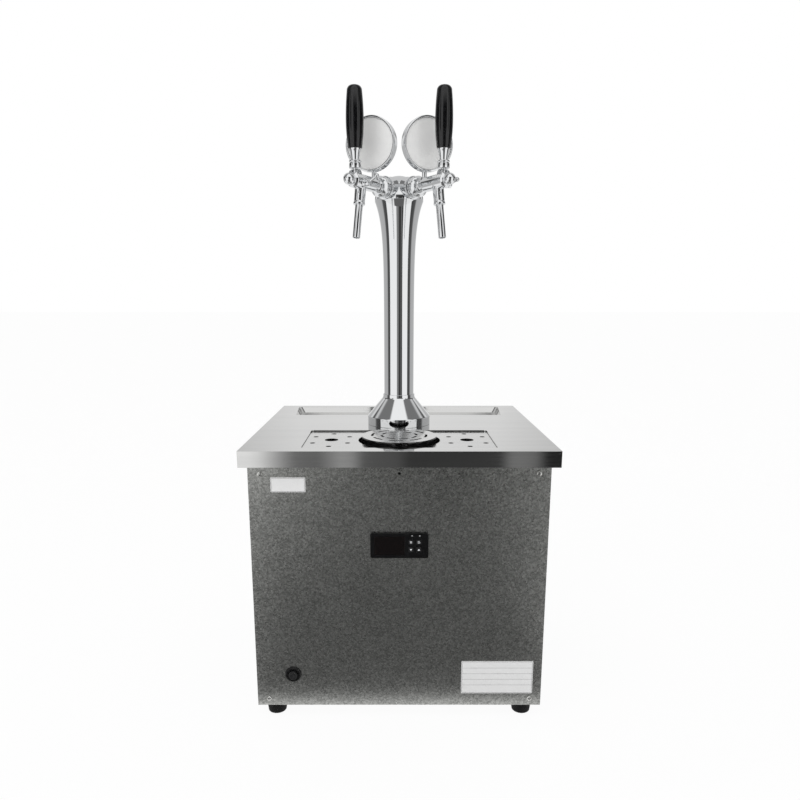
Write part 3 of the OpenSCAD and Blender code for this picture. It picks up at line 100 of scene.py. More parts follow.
# Taps: u is the distance from the tower's axis
TAP_Z, TAP_YAW, HANDLE_U = 720, 31, 111
SHANK_D, FLANGE_D, FLANGE_T = 20, 31, 4
NUT_U, NUT_D, NUT_LEN, NUT_LIP, NUT_BORE_D, NUT_GROOVE = 43, 28, 14, 2.5, 16.6, 0.9
CAST_VOXEL, CAST_ROUNDS = 0.42, 7
SPOUT_U, SPOUT_TILT, SPOUT_D, SPOUT_WALL, SPOUT_FROM, SPOUT_LEN = 98, 10, 10, 1, 21, 73
PIVOT_UP, TRUNNION_D, TRUNNION_LEN = 8, 6, 10
LEVER_NECK_D, LEVER_TAIL_D, LEVER_TIP_D = 5.4, 3.6, 4.4
COLLAR_Z, COLLAR_H, COLLAR_D, COLLAR_GROOVE = 14.2, 10, 16, 0.8
FERRULE_Z, FERRULE_H, FERRULE_D, FERRULE_TIP_D = 24.2, 14.5, 16.6, 11
HANDLE_Z, HANDLE_H, HANDLE_D, HANDLE_FOOT_D, HANDLE_BELLY, HANDLE_ROUND = 38.7, 75, 23, 18, 0.45, 6
FLOW_U, FLOW_Y, FLOW_SHAFT_X, FLOW_SHAFT_D = 103, -3, 6.6, 5
FLOW_HUB_X, FLOW_HUB_T, FLOW_HUB_D = 12.2, 5, 9
FLOW_ARM, FLOW_ARM_D, FLOW_RISE, FLOW_KNOB_D = 15, 3.8, 30, 6.4
MEDAL_U, MEDAL_Y, MEDAL_TURN, MEDAL_OUT = 66, 50, 10, 2
MEDAL_D, MEDAL_T, MEDAL_RIM, MEDAL_DISH = 70, 13, 2.6, 1.5
MEDAL_FACE_T, MEDAL_FACE_GAP, MEDAL_FACE_EASE, MEDAL_CROWN = 1.5, 0.15, 0.3, 0.9
MEDAL_STEM_D, MEDAL_STEM_FROM, MEDAL_STEM_TOP = 6.4, 6.6, 31

# Fineness of the mesh: facets round a form, the share of a side that a fillet may take, crease angles,
# and the limits of a point on the axis (mm), of merged points (m) and of a flat face (degrees)
AROUND, FINE_AROUND, BAR_AROUND, BALL_AROUND = 96, 160, 48, 32
FILLET_SHARE = 0.48
MADE_CREASE, SMALL_CREASE, EASED_CREASE, EASED_FROM = 35, 40, 50, 30
ON_AXIS, WELD, FLAT = 1e-6, 2e-6, 0.4


# Mesh making

def new_piece(name, mesh):
    """A new object at the origin that holds the mesh."""
    piece = bpy.data.objects.new(name, mesh)
    scene.collection.objects.link(piece)
    return piece


def smooth(mesh, crease):
    """Smooth shading, with edges sharper than the crease angle kept crisp."""
    mesh.shade_smooth()
    mesh.set_sharp_from_angle(angle=math.radians(crease))


def bezier(a, b, c, t):
    """A point of a quadratic curve."""
    return tuple(p * (1 - t) ** 2 + q * 2 * t * (1 - t) + r * t ** 2 for p, q, r in zip(a, b, c))


def softened(outline, steps=5):
    """An (r, z) outline whose corners (r, z, fillet) are rounded by that radius."""
    corners = [(Vector(p[:2]), p[2] if len(p) > 2 else 0) for p in outline]
    points = []
    for i, (corner, fillet) in enumerate(corners):
        if not fillet or i in (0, len(corners) - 1):
            points.append(tuple(corner))
            continue
        before, after = corners[i - 1][0] - corner, corners[i + 1][0] - corner
        half = before.angle(after) / 2
        reach = min(fillet / math.tan(half), FILLET_SHARE * before.length, FILLET_SHARE * after.length)
        start, end = corner + before.normalized() * reach, corner + after.normalized() * reach
        points += [bezier(start, corner, end, k / steps) for k in range(steps + 1)]
    return points


def turn(bm, outline, place=ORIGIN, around=AROUND):
    """Adds a form turned about z. The outline starts and ends on the axis, or is a closed ring off it."""
    angles = [2 * math.pi * k / around for k in range(around)]
    rings = []
    for r, z in outline:
        spokes = angles if r > ON_AXIS else angles[:1]
        rings.append([bm.verts.new(place @ Vector((r * math.cos(a), r * math.sin(a), z))) for a in spokes])
    on_axis = len(rings[0]) == 1 and len(rings[-1]) == 1
    pairs = list(zip(rings, rings[1:])) + ([] if on_axis else [(rings[-1], rings[0])])
    for low, high in pairs:
        for k in range(around):
            n = (k + 1) % around
            corners = [low[k % len(low)], low[n % len(low)], high[n % len(high)], high[k % len(high)]]
            face = list(dict.fromkeys(corners))
            if len(face) > 2:
                bm.faces.new(face)


def bar(bm, start, end, d, fillet, place):
    """Adds a round bar between two points, with rounded ends."""
    start, end = Vector(start), Vector(end)
    axis = end - start
    lie = place @ Matrix.Translation(start) @ axis.to_track_quat("Z", "Y").to_matrix().to_4x4()
    outline = [(0, 0), (d / 2, 0, fillet), (d / 2, axis.length, fillet), (0, axis.length)]
    turn(bm, softened(outline), lie, BAR_AROUND)


def ball(bm, centre, d, place):
    """Adds a ball."""
    steps = BALL_AROUND // 2
    angles = [math.pi * k / steps for k in range(1, steps)]
    arc = [(d / 2 * math.sin(a), -d / 2 * math.cos(a)) for a in angles]
    turn(bm, [(0, -d / 2), *arc, (0, d / 2)], place @ Matrix.Translation(Vector(centre)), BALL_AROUND)


def block(bm, low, high):
    """Adds a block between two corners."""
    low, high = Vector(low), Vector(high)
    middle = Matrix.Translation((low + high) / 2) @ Matrix.Diagonal((*(high - low), 1))
    bmesh.ops.create_cube(bm, size=1, matrix=middle)


def prism(bm, outline, thickness, place):
    """Adds a flat form of the given outline that rises from z = 0."""
    low = [bm.verts.new(place @ Vector((x, y, 0))) for x, y in outline]
    high = [bm.verts.new(place @ Vector((x, y, thickness))) for x, y in outline]
    bm.faces.new(low[::-1])
    bm.faces.new(high)
    for k in range(len(outline)):
        n = (k + 1) % len(outline)
        bm.faces.new((low[k], low[n], high[n], high[k]))


def made(name, bm):
    """Turns millimetre mesh work into a piece in metres, with its faces outwards."""
    bmesh.ops.recalc_face_normals(bm, faces=bm.faces)
    bmesh.ops.scale(bm, vec=(MM, MM, MM), verts=bm.verts)
    mesh = bpy.data.meshes.new(name)
    bm.to_mesh(mesh)
    bm.free()
    smooth(mesh, MADE_CREASE)
    return new_piece(name, mesh)


def turned(name, outline, place=ORIGIN, around=AROUND):
    """A piece that is one turned form."""
    bm = bmesh.new()
    turn(bm, outline, place, around)
    return made(name, bm)


def baked(piece):
    """Replaces a piece's mesh by what its modifiers give, and takes them off."""
    depsgraph = bpy.context.evaluated_depsgraph_get()
    mesh = bpy.data.meshes.new_from_object(piece.evaluated_get(depsgraph))
    piece.modifiers.clear()
    piece.data = mesh
    return piece


def cut(piece, cutter):
    """Takes a cutter's form out of a piece, and the cutter away."""
    change = piece.modifiers.new("cut", "BOOLEAN")
    change.operation = "DIFFERENCE"
    change.solver = "EXACT"
    change.object = cutter
    baked(piece)
    bpy.data.objects.remove(cutter)
    return piece


def solid_copy(name, node):
    """A merged copy of a solid's triangles, with its flat faces whole."""
    bm = bmesh.new()
    bm.from_mesh(nodes[node].data)
    bmesh.ops.remove_doubles(bm, verts=bm.verts, dist=WELD)
    bmesh.ops.dissolve_limit(
        bm, angle_limit=math.radians(FLAT), verts=bm.verts, edges=bm.edges, delimit={"NORMAL"}
    )
    mesh = bpy.data.meshes.new(name)
    bm.to_mesh(mesh)
    bm.free()
    return new_piece(name, mesh)


def eased(piece, radius, segments=2, by_share=False):
    """Eases edges by a radius in millimetres, or by each edge's share of it, and keeps flats level."""
    bevel = piece.modifiers.new("eased_edges", "BEVEL")
    bevel.width = radius * MM
    bevel.segments = segments
    bevel.limit_method = "WEIGHT" if by_share else "ANGLE"
    bevel.angle_limit = math.radians(EASED_FROM)
    bevel.use_clamp_overlap = True
    baked(piece)
    smooth(piece.data, EASED_CREASE)
    level = piece.modifiers.new("level_flats", "WEIGHTED_NORMAL")
    level.mode = "FACE_AREA"
    level.weight = 100
    level.keep_sharp = True
    return baked(piece)


def cast(name, node):
    """A copy of a solid whose edges and corners flow into each other, as on a polished casting."""
    piece = solid_copy(name, node)
    remesh = piece.modifiers.new("cast_skin", "REMESH")
    remesh.mode = "VOXEL"
    remesh.voxel_size = CAST_VOXEL * MM
    relax = piece.modifiers.new("polish", "SMOOTH")
    relax.factor = 0.5
    relax.iterations = CAST_ROUNDS
    baked(piece)
    piece.data.shade_smooth()
    return piece


def dress(piece, material, body, *stands_for, slot=None):
    """Gives a piece its finish and body, and hides the solids that it stands for."""
    piece.data.materials.clear()
    piece.data.materials.append(material)
    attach(piece, body)
    if stands_for:
        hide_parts(*stands_for)
    return piece


def dress_solid(name, node, radius, material, body, slot, segments=2):
    """Dresses a copy of a solid with eased edges, which stands for it."""
    dress(eased(solid_copy(name, node), radius, segments), material, body, node, slot=slot)


# Shared surface effects, as node groups

def feed(tree, value, socket):
    """Sets a socket to a number, or links another socket to it."""
    if isinstance(value, (int, float)):
        socket.default_value = value
    else:
        tree.links.new(value, socket)


def math_node(tree, operation, *values):
    """A math node of numbers and sockets."""
    node = tree.nodes.new("ShaderNodeMath")
    node.operation = operation
    for value, socket in zip(values, node.inputs):
        feed(tree, value, socket)
    return node.outputs[0]


def spread(tree, value, low, high, to_low, to_high):
    """Maps a value's range to another one, whose ends may be numbers or sockets."""
    node = tree.nodes.new("ShaderNodeMapRange")
    tree.links.new(value, node.inputs["Value"])
    for label, end in (("From Min", low), ("From Max", high), ("To Min", to_low), ("To Max", to_high)):
        feed(tree, end, node.inputs[label])
    return node.outputs["Result"]


def noise(tree, vector, scale, detail=2.0):
    """A noise value of that scale, which may be a number or a socket."""
    node = tree.nodes.new("ShaderNodeTexNoise")
    node.inputs["Detail"].default_value = detail
    tree.links.new(vector, node.inputs["Vector"])
    feed(tree, scale, node.inputs["Scale"])
    return node.outputs["Fac"]


def stretched(tree, vector, scale):
    """Coordinates that are scaled along each axis."""
    node = tree.nodes.new("ShaderNodeMapping")
    node.inputs["Scale"].default_value = scale
    tree.links.new(vector, node.inputs["Vector"])
    return node.outputs["Vector"]


def effect(name, inputs, outputs):
    """An empty shader group with a vector, float inputs and float outputs."""
    tree = bpy.data.node_groups.new(name, "ShaderNodeTree")
    tree.interface.new_socket("Vector", in_out="INPUT", socket_type="NodeSocketVector")
    for label in inputs:
        tree.interface.new_socket(label, in_out="INPUT", socket_type="NodeSocketFloat")
    for label in outputs:
        tree.interface.new_socket(label, in_out="OUTPUT", socket_type="NodeSocketFloat")
    return tree, tree.nodes.new("NodeGroupInput").outputs, tree.nodes.new("NodeGroupOutput").inputs


def wipe_marks_group():
    """Roughness of a wiped shiny surface: faint cloudy smears."""
    tree, inputs, outputs = effect("wipe_marks", ["Scale", "Clean", "Smeared"], ["Roughness"])
    smears = noise(tree, stretched(tree, inputs["Vector"], (1.0, 1.0, 0.35)), inputs["Scale"], 3.0)
    tree.links.new(spread(tree, smears, 0.4, 0.75, inputs["Clean"], inputs["Smeared"]), outputs["Roughness"])
    return tree


def brushing_group():
    """Fine straight scratches along x, with their height, roughness and tone."""
    tree, inputs, outputs = effect("brushing", ["Smooth", "Scratched"], ["Height", "Roughness", "Tone"])
    fine = noise(tree, stretched(tree, inputs["Vector"], (6.0, 900.0, 900.0)), 1.0)
    broad = noise(tree, stretched(tree, inputs["Vector"], (3.0, 60.0, 60.0)), 1.0)
    tree.links.new(fine, outputs["Height"])
    tree.links.new(spread(tree, fine, 0.3, 0.7, inputs["Smooth"], inputs["Scratched"]), outputs["Roughness"])
    tree.links.new(broad, outputs["Tone"])
    return tree


def spangle_group():
    """Zinc crystals: a tone for each crystal, with finer frosting inside them and broad clouds over them."""
    tree, inputs, outputs = effect("zinc_spangle", [], ["Tone", "Roughness", "Height"])
    crystal = tree.nodes.new("ShaderNodeTexVoronoi")
    crystal.inputs["Scale"].default_value = 520.0
    tree.links.new(inputs["Vector"], crystal.inputs["Vector"])
    split = tree.nodes.new("ShaderNodeSeparateColor")
    tree.links.new(crystal.outputs["Color"], split.inputs["Color"])
    frost = noise(tree, inputs["Vector"], 900.0)
    cloud = noise(tree, inputs["Vector"], 14.0)
    grain = math_node(tree, "MULTIPLY_ADD", frost, 1.2, split.outputs["Red"])
    tone = math_node(tree, "MULTIPLY_ADD", cloud, 0.3, grain)
    tree.links.new(spread(tree, tone, 0.45, 1.95, 0.0, 1.0), outputs["Tone"])
    tree.links.new(spread(tree, split.outputs["Green"], 0.0, 1.0, 0.24, 0.38), outputs["Roughness"])
    tree.links.new(frost, outputs["Height"])
    return tree


def grain_group():
    """Moulded grain: fine pits with their height, and a slow change of roughness."""
    tree, inputs, outputs = effect("moulded_grain", ["Scale", "Low", "High"], ["Height", "Roughness"])
    tree.links.new(noise(tree, inputs["Vector"], inputs["Scale"]), outputs["Height"])
    slow = noise(tree, inputs["Vector"], 45.0)
    tree.links.new(spread(tree, slow, 0.3, 0.7, inputs["Low"], inputs["High"]), outputs["Roughness"])
    return tree


WIPE_MARKS = wipe_marks_group()
BRUSHING = brushing_group()
SPANGLE = spangle_group()
GRAIN = grain_group()


# Finishes

def finish(name, colour, metallic, group, **values):
    """A material on object coordinates with an effect group: material, tree, shader and group node."""
    material = bpy.data.materials.new(name)
    material.use_nodes = True
    tree = material.node_tree
    shader = tree.nodes["Principled BSDF"]
    shader.inputs["Base Color"].default_value = (*colour, 1.0)
    shader.inputs["Metallic"].default_value = metallic
    place = tree.nodes.new("ShaderNodeTexCoord")
    marks = tree.nodes.new("ShaderNodeGroup")
    marks.node_tree = group
    tree.links.new(place.outputs["Object"], marks.inputs["Vector"])
    for label, value in values.items():
        marks.inputs[label].default_value = value
    tree.links.new(marks.outputs["Roughness"], shader.inputs["Roughness"])
    return material, tree, shader, marks


def relief(tree, shader, height, depth):
    """Bumps the surface by a height, in millimetres of depth."""
    bump = tree.nodes.new("ShaderNodeBump")
    bump.inputs["Strength"].default_value = 1.0
    bump.inputs["Distance"].default_value = depth * MM
    tree.links.new(height, bump.inputs["Height"])
    tree.links.new(bump.outputs["Normal"], shader.inputs["Normal"])


def toned(tree, shader, tone, dark, light):
    """Colours the surface between a dark and a light shade by a tone, and returns the colour."""
    shades = tree.nodes.new("ShaderNodeValToRGB")
    shades.color_ramp.elements[0].color = (*dark, 1.0)
    shades.color_ramp.elements[1].color = (*light, 1.0)
    tree.links.new(tone, shades.inputs["Fac"])
    tree.links.new(shades.outputs["Color"], shader.inputs["Base Color"])
    return shades.outputs["Color"]


def painted_shade_on_uprights(tree, shader, colour, share):
    """Paints shade on the upright faces of a level sheet, such as its hole walls, by darkening them to a
    share of its colour.
    """
    split = tree.nodes.new("ShaderNodeSeparateXYZ")
    tree.links.new(tree.nodes.new("ShaderNodeNewGeometry").outputs["Normal"], split.inputs[0])
    level = math_node(tree, "ABSOLUTE", split.outputs["Z"])
    darken = tree.nodes.new("ShaderNodeMix")
    darken.data_type, darken.blend_type = "RGBA", "MULTIPLY"
    darken.inputs["Factor"].default_value = 1.0
    first, second = [socket for socket in darken.inputs if socket.type == "RGBA"]
    tree.links.new(colour, first)
    tree.links.new(spread(tree, level, 0.2, 0.8, share, 1.0), second)
    result = next(socket for socket in darken.outputs if socket.type == "RGBA")
    tree.links.new(result, shader.inputs["Base Color"])


def polished(name, colour, clean=0.03, smeared=0.09, scale=40.0):
    """Plated or polished metal with faint wipe marks."""
    return finish(name, colour, 1.0, WIPE_MARKS, Clean=clean, Smeared=smeared, Scale=scale)[0]


def galvanised():
    """Bare galvanised sheet."""
    material, tree, shader, marks = finish("galvanised_sheet", (0.5, 0.5, 0.48), 1.0, SPANGLE)
    toned(tree, shader, marks.outputs["Tone"], (0.27, 0.275, 0.262), (0.74, 0.745, 0.72))
    relief(tree, shader, marks.outputs["Height"], 0.03)
    return material


def brushed_steel(name, smooth_rough, scratched, depth, shade=1.0, upright_shade_share=1.0):
    """Brushed stainless sheet. A shade below one darkens its colour as painted shade, and its upright faces
    get painted shade at a share of its tone.
    """
    material, tree, shader, marks = finish(
        name, (0.68, 0.68, 0.67), 1.0, BRUSHING, Smooth=smooth_rough, Scratched=scratched
    )
    dark, light = [[shade * part for part in tone] for tone in ((0.63, 0.63, 0.625), (0.74, 0.74, 0.73))]
    colour = toned(tree, shader, marks.outputs["Tone"], dark, light)
    # Painted shade: upright faces are darkened by which way they face
    if upright_shade_share < 1:
        painted_shade_on_uprights(tree, shader, colour, upright_shade_share)
    relief(tree, shader, marks.outputs["Height"], depth)
    return material


def satin_silver():
    """Silver lacquer, brushed very lightly."""
    material, tree, shader, marks = finish(
        "satin_medal", (0.84, 0.84, 0.83), 0.15, BRUSHING, Smooth=0.32, Scratched=0.44
    )
    toned(tree, shader, marks.outputs["Tone"], (0.80, 0.80, 0.795), (0.88, 0.88, 0.87))
    relief(tree, shader, marks.outputs["Height"], 0.001)
    return material


def moulded(name, colour, low, high, depth, scale, shine=0.5):
    """Moulded plastic, rubber, foam or print with a fine grain."""
    material, tree, shader, marks = finish(name, colour, 0.0, GRAIN, Low=low, High=high, Scale=scale)
    relief(tree, shader, marks.outputs["Height"], depth)
    shader.inputs["Specular IOR Level"].default_value = shine
    return material


ZINC = galvanised()
PLATE_STEEL = brushed_steel("brushed_plate", 0.04, 0.10, 0.0005)
# The grille's hole walls and other upright faces get painted shade, darkened to 0.12 of the steel's tone
GRILLE_STEEL = brushed_steel("brushed_grille", 0.10, 0.20, 0.001, upright_shade_share=0.12)
# The basin and the rinser valve under the grille are darkened to 0.35 of the steel's tone as painted shade;
# their roughness is dull
SHADED_BASIN_STEEL = brushed_steel("dull_basin_with_painted_shade", 0.35, 0.5, 0.002, 0.35)
CHROME = polished("bright_chrome", (0.80, 0.81, 0.82))
SCREW_STEEL = polished("plated_screw", (0.72, 0.72, 0.70), 0.12, 0.28, 300.0)
COPPER = polished("drawn_copper", (0.72, 0.33, 0.19), 0.2, 0.4, 90.0)
BRASS = polished("turned_brass", (0.70, 0.50, 0.22), 0.15, 0.3, 90.0)
MEDAL_FACE = satin_silver()
HANDLE_BLACK = moulded("gloss_handle", (0.004, 0.004, 0.0045), 0.05, 0.10, 0.0003, 300.0)
CASE_BLACK = moulded("controller_case", (0.005, 0.005, 0.0055), 0.28, 0.42, 0.004, 1500.0, shine=0.25)
SWITCH_BLACK = moulded("switch_case", (0.006, 0.006, 0.0065), 0.30, 0.45, 0.004, 1200.0, shine=0.3)
KEY_BLACK = moulded("key_cap", (0.014, 0.014, 0.015), 0.35, 0.5, 0.004, 1800.0)
WINDOW = moulded("smoked_window", (0.004, 0.0025, 0.0025), 0.04, 0.10, 0.0005, 300.0, shine=0.35)
RUBBER = moulded("black_rubber", (0.005, 0.005, 0.005), 0.6, 0.8, 0.02, 900.0, shine=0.2)
MOTOR_BLACK = moulded("black_enamel", (0.013, 0.013, 0.014), 0.25, 0.4, 0.01, 400.0)
FOAM = moulded("insulating_foam", (0.72, 0.66, 0.46), 0.8, 0.95, 0.15, 350.0)
HOSE = moulded("beer_hose", (0.78, 0.76, 0.66), 0.3, 0.45, 0.004, 600.0)
LABEL_WHITE = moulded("blank_plate", (0.80, 0.80, 0.80), 0.35, 0.5, 0.002, 900.0)
PRINT_GREY = moulded("plate_rule", (0.22, 0.22, 0.22), 0.5, 0.6, 0.001, 900.0)
PRINT_WHITE = moulded("key_print", (0.85, 0.86, 0.88), 0.4, 0.5, 0.001, 900.0)


# Repeated parts

def placing_tree():
    """Geometry nodes that set a part on each point, turned to the point's facing and spun about it."""
    tree = bpy.data.node_groups.new("set_in_places", "GeometryNodeTree")
    tree.is_modifier = True
    ends = {}
    for label, kind in (("Places", "Geometry"), ("Part", "Object"), ("Finish", "Material")):
        socket = tree.interface.new_socket(label, in_out="INPUT", socket_type="NodeSocket" + kind)
        ends[label] = socket.identifier
    tree.interface.new_socket("Placed", in_out="OUTPUT", socket_type="NodeSocketGeometry")
    make, join = tree.nodes.new, tree.links.new
    given, result = make("NodeGroupInput").outputs, make("NodeGroupOutput").inputs
    part = make("GeometryNodeObjectInfo")
    join(given["Part"], part.inputs["Object"])
    facing = make("GeometryNodeInputNamedAttribute")
    facing.data_type = "FLOAT_VECTOR"
    facing.inputs["Name"].default_value = "facing"
    aim = make("FunctionNodeAlignRotationToVector")
    aim.axis = "Z"
    join(facing.outputs["Attribute"], aim.inputs["Vector"])
    chance = make("FunctionNodeRandomValue")
    chance.data_type = "FLOAT"
    chance.inputs["Seed"].default_value = 7
    next(s for s in chance.inputs if s.name == "Max" and s.enabled).default_value = 2 * math.pi
    spin = make("FunctionNodeAxisAngleToRotation")
    join(next(s for s in chance.outputs if s.enabled), spin.inputs["Angle"])
    turned_part = make("FunctionNodeRotateRotation")
    turned_part.rotation_space = "LOCAL"
    join(aim.outputs["Rotation"], turned_part.inputs["Rotation"])
    join(spin.outputs["Rotation"], turned_part.inputs["Rotate By"])
    placed = make("GeometryNodeInstanceOnPoints")
    join(given["Places"], placed.inputs["Points"])
    join(part.outputs["Geometry"], placed.inputs["Instance"])
    join(turned_part.outputs["Rotation"], placed.inputs["Rotation"])
    real = make("GeometryNodeRealizeInstances")
    join(placed.outputs["Instances"], real.inputs["Geometry"])
    coat = make("GeometryNodeSetMaterial")
    join(real.outputs["Geometry"], coat.inputs["Geometry"])
    join(given["Finish"], coat.inputs["Material"])
    join(coat.outputs["Geometry"], result["Placed"])
    return tree, ends


PLACING, PLACING_ENDS = placing_tree()


def set_in_places(name, part, places, material):
    """One piece with a copy of part at each (place in mm, facing), and the part itself taken away."""
    mesh = bpy.data.meshes.new(name)
    mesh.from_pydata([Vector(place) * MM for place, facing in places], [], [])
    towards = mesh.attributes.new("facing", "FLOAT_VECTOR", "POINT")
    towards.data.foreach_set("vector", [c for place, facing in places for c in facing])
    piece = new_piece(name, mesh)
    placing = piece.modifiers.new("set_in_places", "NODES")
    placing.node_group = PLACING
    placing[PLACING_ENDS["Part"]] = part
    placing[PLACING_ENDS["Finish"]] = material
    baked(piece)
    bpy.data.objects.remove(part)
    smooth(piece.data, SMALL_CREASE)
    return piece


# Cabinet

def screw_places():
    """Each panel screw's place and the way it faces."""
    places = []
    for quarter, width, depth in ((0, CAB_W, CAB_D), (1, CAB_D, CAB_W), (2, CAB_W, CAB_D), (3, CAB_D, CAB_W)):
        wall = Matrix.Rotation(quarter * math.pi / 2, 3, "Z")
        for x in (-1, 1):
            for z in SCREW_ROWS:
                place = wall @ Vector((x * (width / 2 - SCREW_INSET), -depth / 2, z))
                places.append((place, wall @ Vector((0, -1, 0))))
    return places


def pan_screw():
    """A pan-head screw with a cross recess, its head rising from z = 0."""
    r, h, shank = SCREW_HEAD_D / 2, SCREW_HEAD_H, SCREW_SHANK_D / 2
    screw = turned("screw_part", softened([
        (0, -SCREW_SHANK_LEN), (shank, -SCREW_SHANK_LEN, 0.3), (shank, 0),
        (r, 0, 0.25), (r, h * 0.35, 0.7), (r * 0.72, h * 0.86, 0.8), (0, h),
    ]), around=32)
    for w, d in ((CROSS_LEN, CROSS_W), (CROSS_W, CROSS_LEN)):
        bm = bmesh.new()
        block(bm, (-w / 2, -d / 2, h - CROSS_DEPTH), (w / 2, d / 2, h + 1))
        cut(screw, made("cross_part", bm))
    return screw


def rubber_foot():
    """A foot with a bore for its screw, standing on z = 0."""
    r, bore = FOOT_D / 2, FOOT_BORE_D / 2
    return turned("foot_part", softened([
        (0, FOOT_BORE_H), (bore, FOOT_BORE_H), (bore, 0, 0.6), (FOOT_TIP_D / 2, 0, 1.2),
        (r - 0.5, FOOT_BAND_Z - 0.6, 0.5), (r, FOOT_BAND_Z, 0.4), (r, FOOT_H, 0.8), (0, FOOT_H),
    ]), around=64)


def in_trough(point, spare):
    """Whether a point is in the trough's outline, widened by a spare."""
    across = abs(point.x) < (TROUGH_W / 2 + spare) * MM
    return across and abs(point.y - TROUGH_Y * MM) < (TROUGH_D / 2 + spare) * MM


def bend_share(ends):
    """The share of the sheet's bend that an edge of the top plate has."""
    near = 0.1
    outside = all(max(abs(p.x) - cad_high.x, abs(p.y) - cad_high.y) > -near * MM for p in ends)
    if all(p.z < (TOP_Z - LIP_H + near) * MM for p in ends):
        return LIP_BEND if outside else 0.0
    on_top = all(p.z > (TOP_Z - near) * MM for p in ends)
    folded = on_top and (outside or all(in_trough(p, 1) for p in ends))
    return 1.0 if folded else SMALL_BEND


def pressed_top():
    """A copy of the top plate with leaning trough walls, and each sharp edge's share of the bend."""
    piece = solid_copy("pressed_top", "top_plate")
    bm = bmesh.new()
    bm.from_mesh(piece.data)
    share = bm.edges.layers.float.new("bevel_weight_edge")
    for edge in bm.edges:
        if len(edge.link_faces) == 2 and edge.calc_face_angle() > math.radians(EASED_FROM):
            edge[share] = bend_share([vertex.co for vertex in edge.verts])
    for vertex in bm.verts:
        if in_trough(vertex.co, 4) and vertex.co.z < (TOP_Z - TROUGH_LEAN_FROM) * MM:
            vertex.co.x -= math.copysign(TROUGH_DRAFT * MM, vertex.co.x)
            vertex.co.y -= math.copysign(TROUGH_DRAFT * MM, vertex.co.y - TROUGH_Y * MM)
    bm.to_mesh(piece.data)
    bm.free()
    return piece


def cabinet():
    """Sheet-metal case, its screws and feet, and the pressed top."""
    for side in ("front", "left_side", "right_side", "rear"):
        dress_solid(side + "_sheet", side + "_panel", SHEET_EASE, ZINC, "cabinet", "zinc")
    screws = set_in_places("cross_head_screws", pan_screw(), screw_places(), SCREW_STEEL)
    dress(screws, SCREW_STEEL, "cabinet", "panel_screws", slot="screw_steel")
    top = eased(pressed_top(), SHEET_BEND, 4, by_share=True)
    dress(top, PLATE_STEEL, "cabinet", "top_plate", slot="plate_steel")
    corners = [
        (Vector((x * (CAB_W / 2 - FOOT_INSET), y * (CAB_D / 2 - FOOT_INSET), 0)), Vector((0, 0, 1)))
        for x in (-1, 1) for y in (-1, 1)
    ]
    feet = set_in_places("rubber_feet", rubber_foot(), corners, RUBBER)
    dress(feet, RUBBER, "cabinet", "feet", slot="rubber")


def drip_tray():
    """Basin, lift-out grille and the sprung rinser disc."""
    dress_solid("tray_basin", "drip_basin", SHEET_EASE, SHADED_BASIN_STEEL, "cabinet", "plate_steel")
    dress_solid("drip_plate", "drip_grille", SHEET_EASE, GRILLE_STEEL, "grille", "plate_steel")
    dress_solid("slotted_disc", "rinser_disc", 0.45, GRILLE_STEEL, "rinser", "plate_steel", 3)


# Controls

def on_front(x, z, out=0):
    """A place on the front panel: x across, y up, z out of it."""
    return Matrix.Translation((x, FRONT_Y - out, z)) @ TO_FRONT


def arc_band(r, width, start, end, steps=24):
    """The outline of a bent band, in degrees from x."""
    angles = [math.radians(start + (end - start) * k / steps) for k in range(steps + 1)]
    outer = [((r + width / 2) * math.cos(a), (r + width / 2) * math.sin(a)) for a in angles]
    inner = [((r - width / 2) * math.cos(a), (r - width / 2) * math.sin(a)) for a in reversed(angles)]
    return outer + inner


def rectangle(w, h, x=0.0, y=0.0):
    """The outline of a rectangle about a point."""
    return [(x - w / 2, y - h / 2), (x + w / 2, y - h / 2), (x + w / 2, y + h / 2), (x - w / 2, y + h / 2)]


def rounded_plate(w, h, r, steps=6):
    """The outline of a rectangle with round corners."""
    outline = []
    for x, y, turn_from in ((1, 1, 0), (-1, 1, 90), (-1, -1, 180), (1, -1, 270)):
        for k in range(steps + 1):
            a = math.radians(turn_from + 90 * k / steps)
            outline.append((x * (w / 2 - r) + r * math.cos(a), y * (h / 2 - r) + r * math.sin(a)))
    return outline


KEY_MARKS = {
    "set": [rectangle(2.6, 0.5, 0, 1.05), rectangle(2.6, 0.5, 0, 0), rectangle(2.6, 0.5, 0, -1.05)],
    "power": [arc_band(1.25, 0.45, 125, 415), rectangle(0.45, 1.5, 0, 1.0)],
    "down": [[(0, -1.3), (1.45, 1.0), (-1.45, 1.0)]],
    "up": [[(-1.45, -1.0), (1.45, -1.0), (0, 1.3)]],
}


def controller():
    """Panel controller with its window, keys and generic key marks."""
    dress_solid("controller_case", "controller_housing", 0.5, CASE_BLACK, "cabinet", "case_black", 3)
    dress_solid("controller_pane", "controller_window", 0.25, WINDOW, "cabinet", "window")
    for name, (x, y) in KEYS.items():
        dress_solid(name + "_cap", "key_" + name, 0.4, KEY_BLACK, name + "_key", "case_black", 3)
        bm = bmesh.new()
        for outline in KEY_MARKS[name]:
            prism(bm, outline, PRINT_T, on_front(x, CTRL_Z + y, CTRL_OUT + KEY_OUT))
        dress(made(name + "_mark", bm), PRINT_WHITE, name + "_key")
    bm = bmesh.new()
    for x in LEGEND_X:
        prism(bm, rectangle(LEGEND_W, LEGEND_H), PRINT_T, on_front(x, CTRL_Z + LEGEND_Y, CTRL_OUT))
    dress(made("key_legends", bm), PRINT_WHITE, "cabinet")


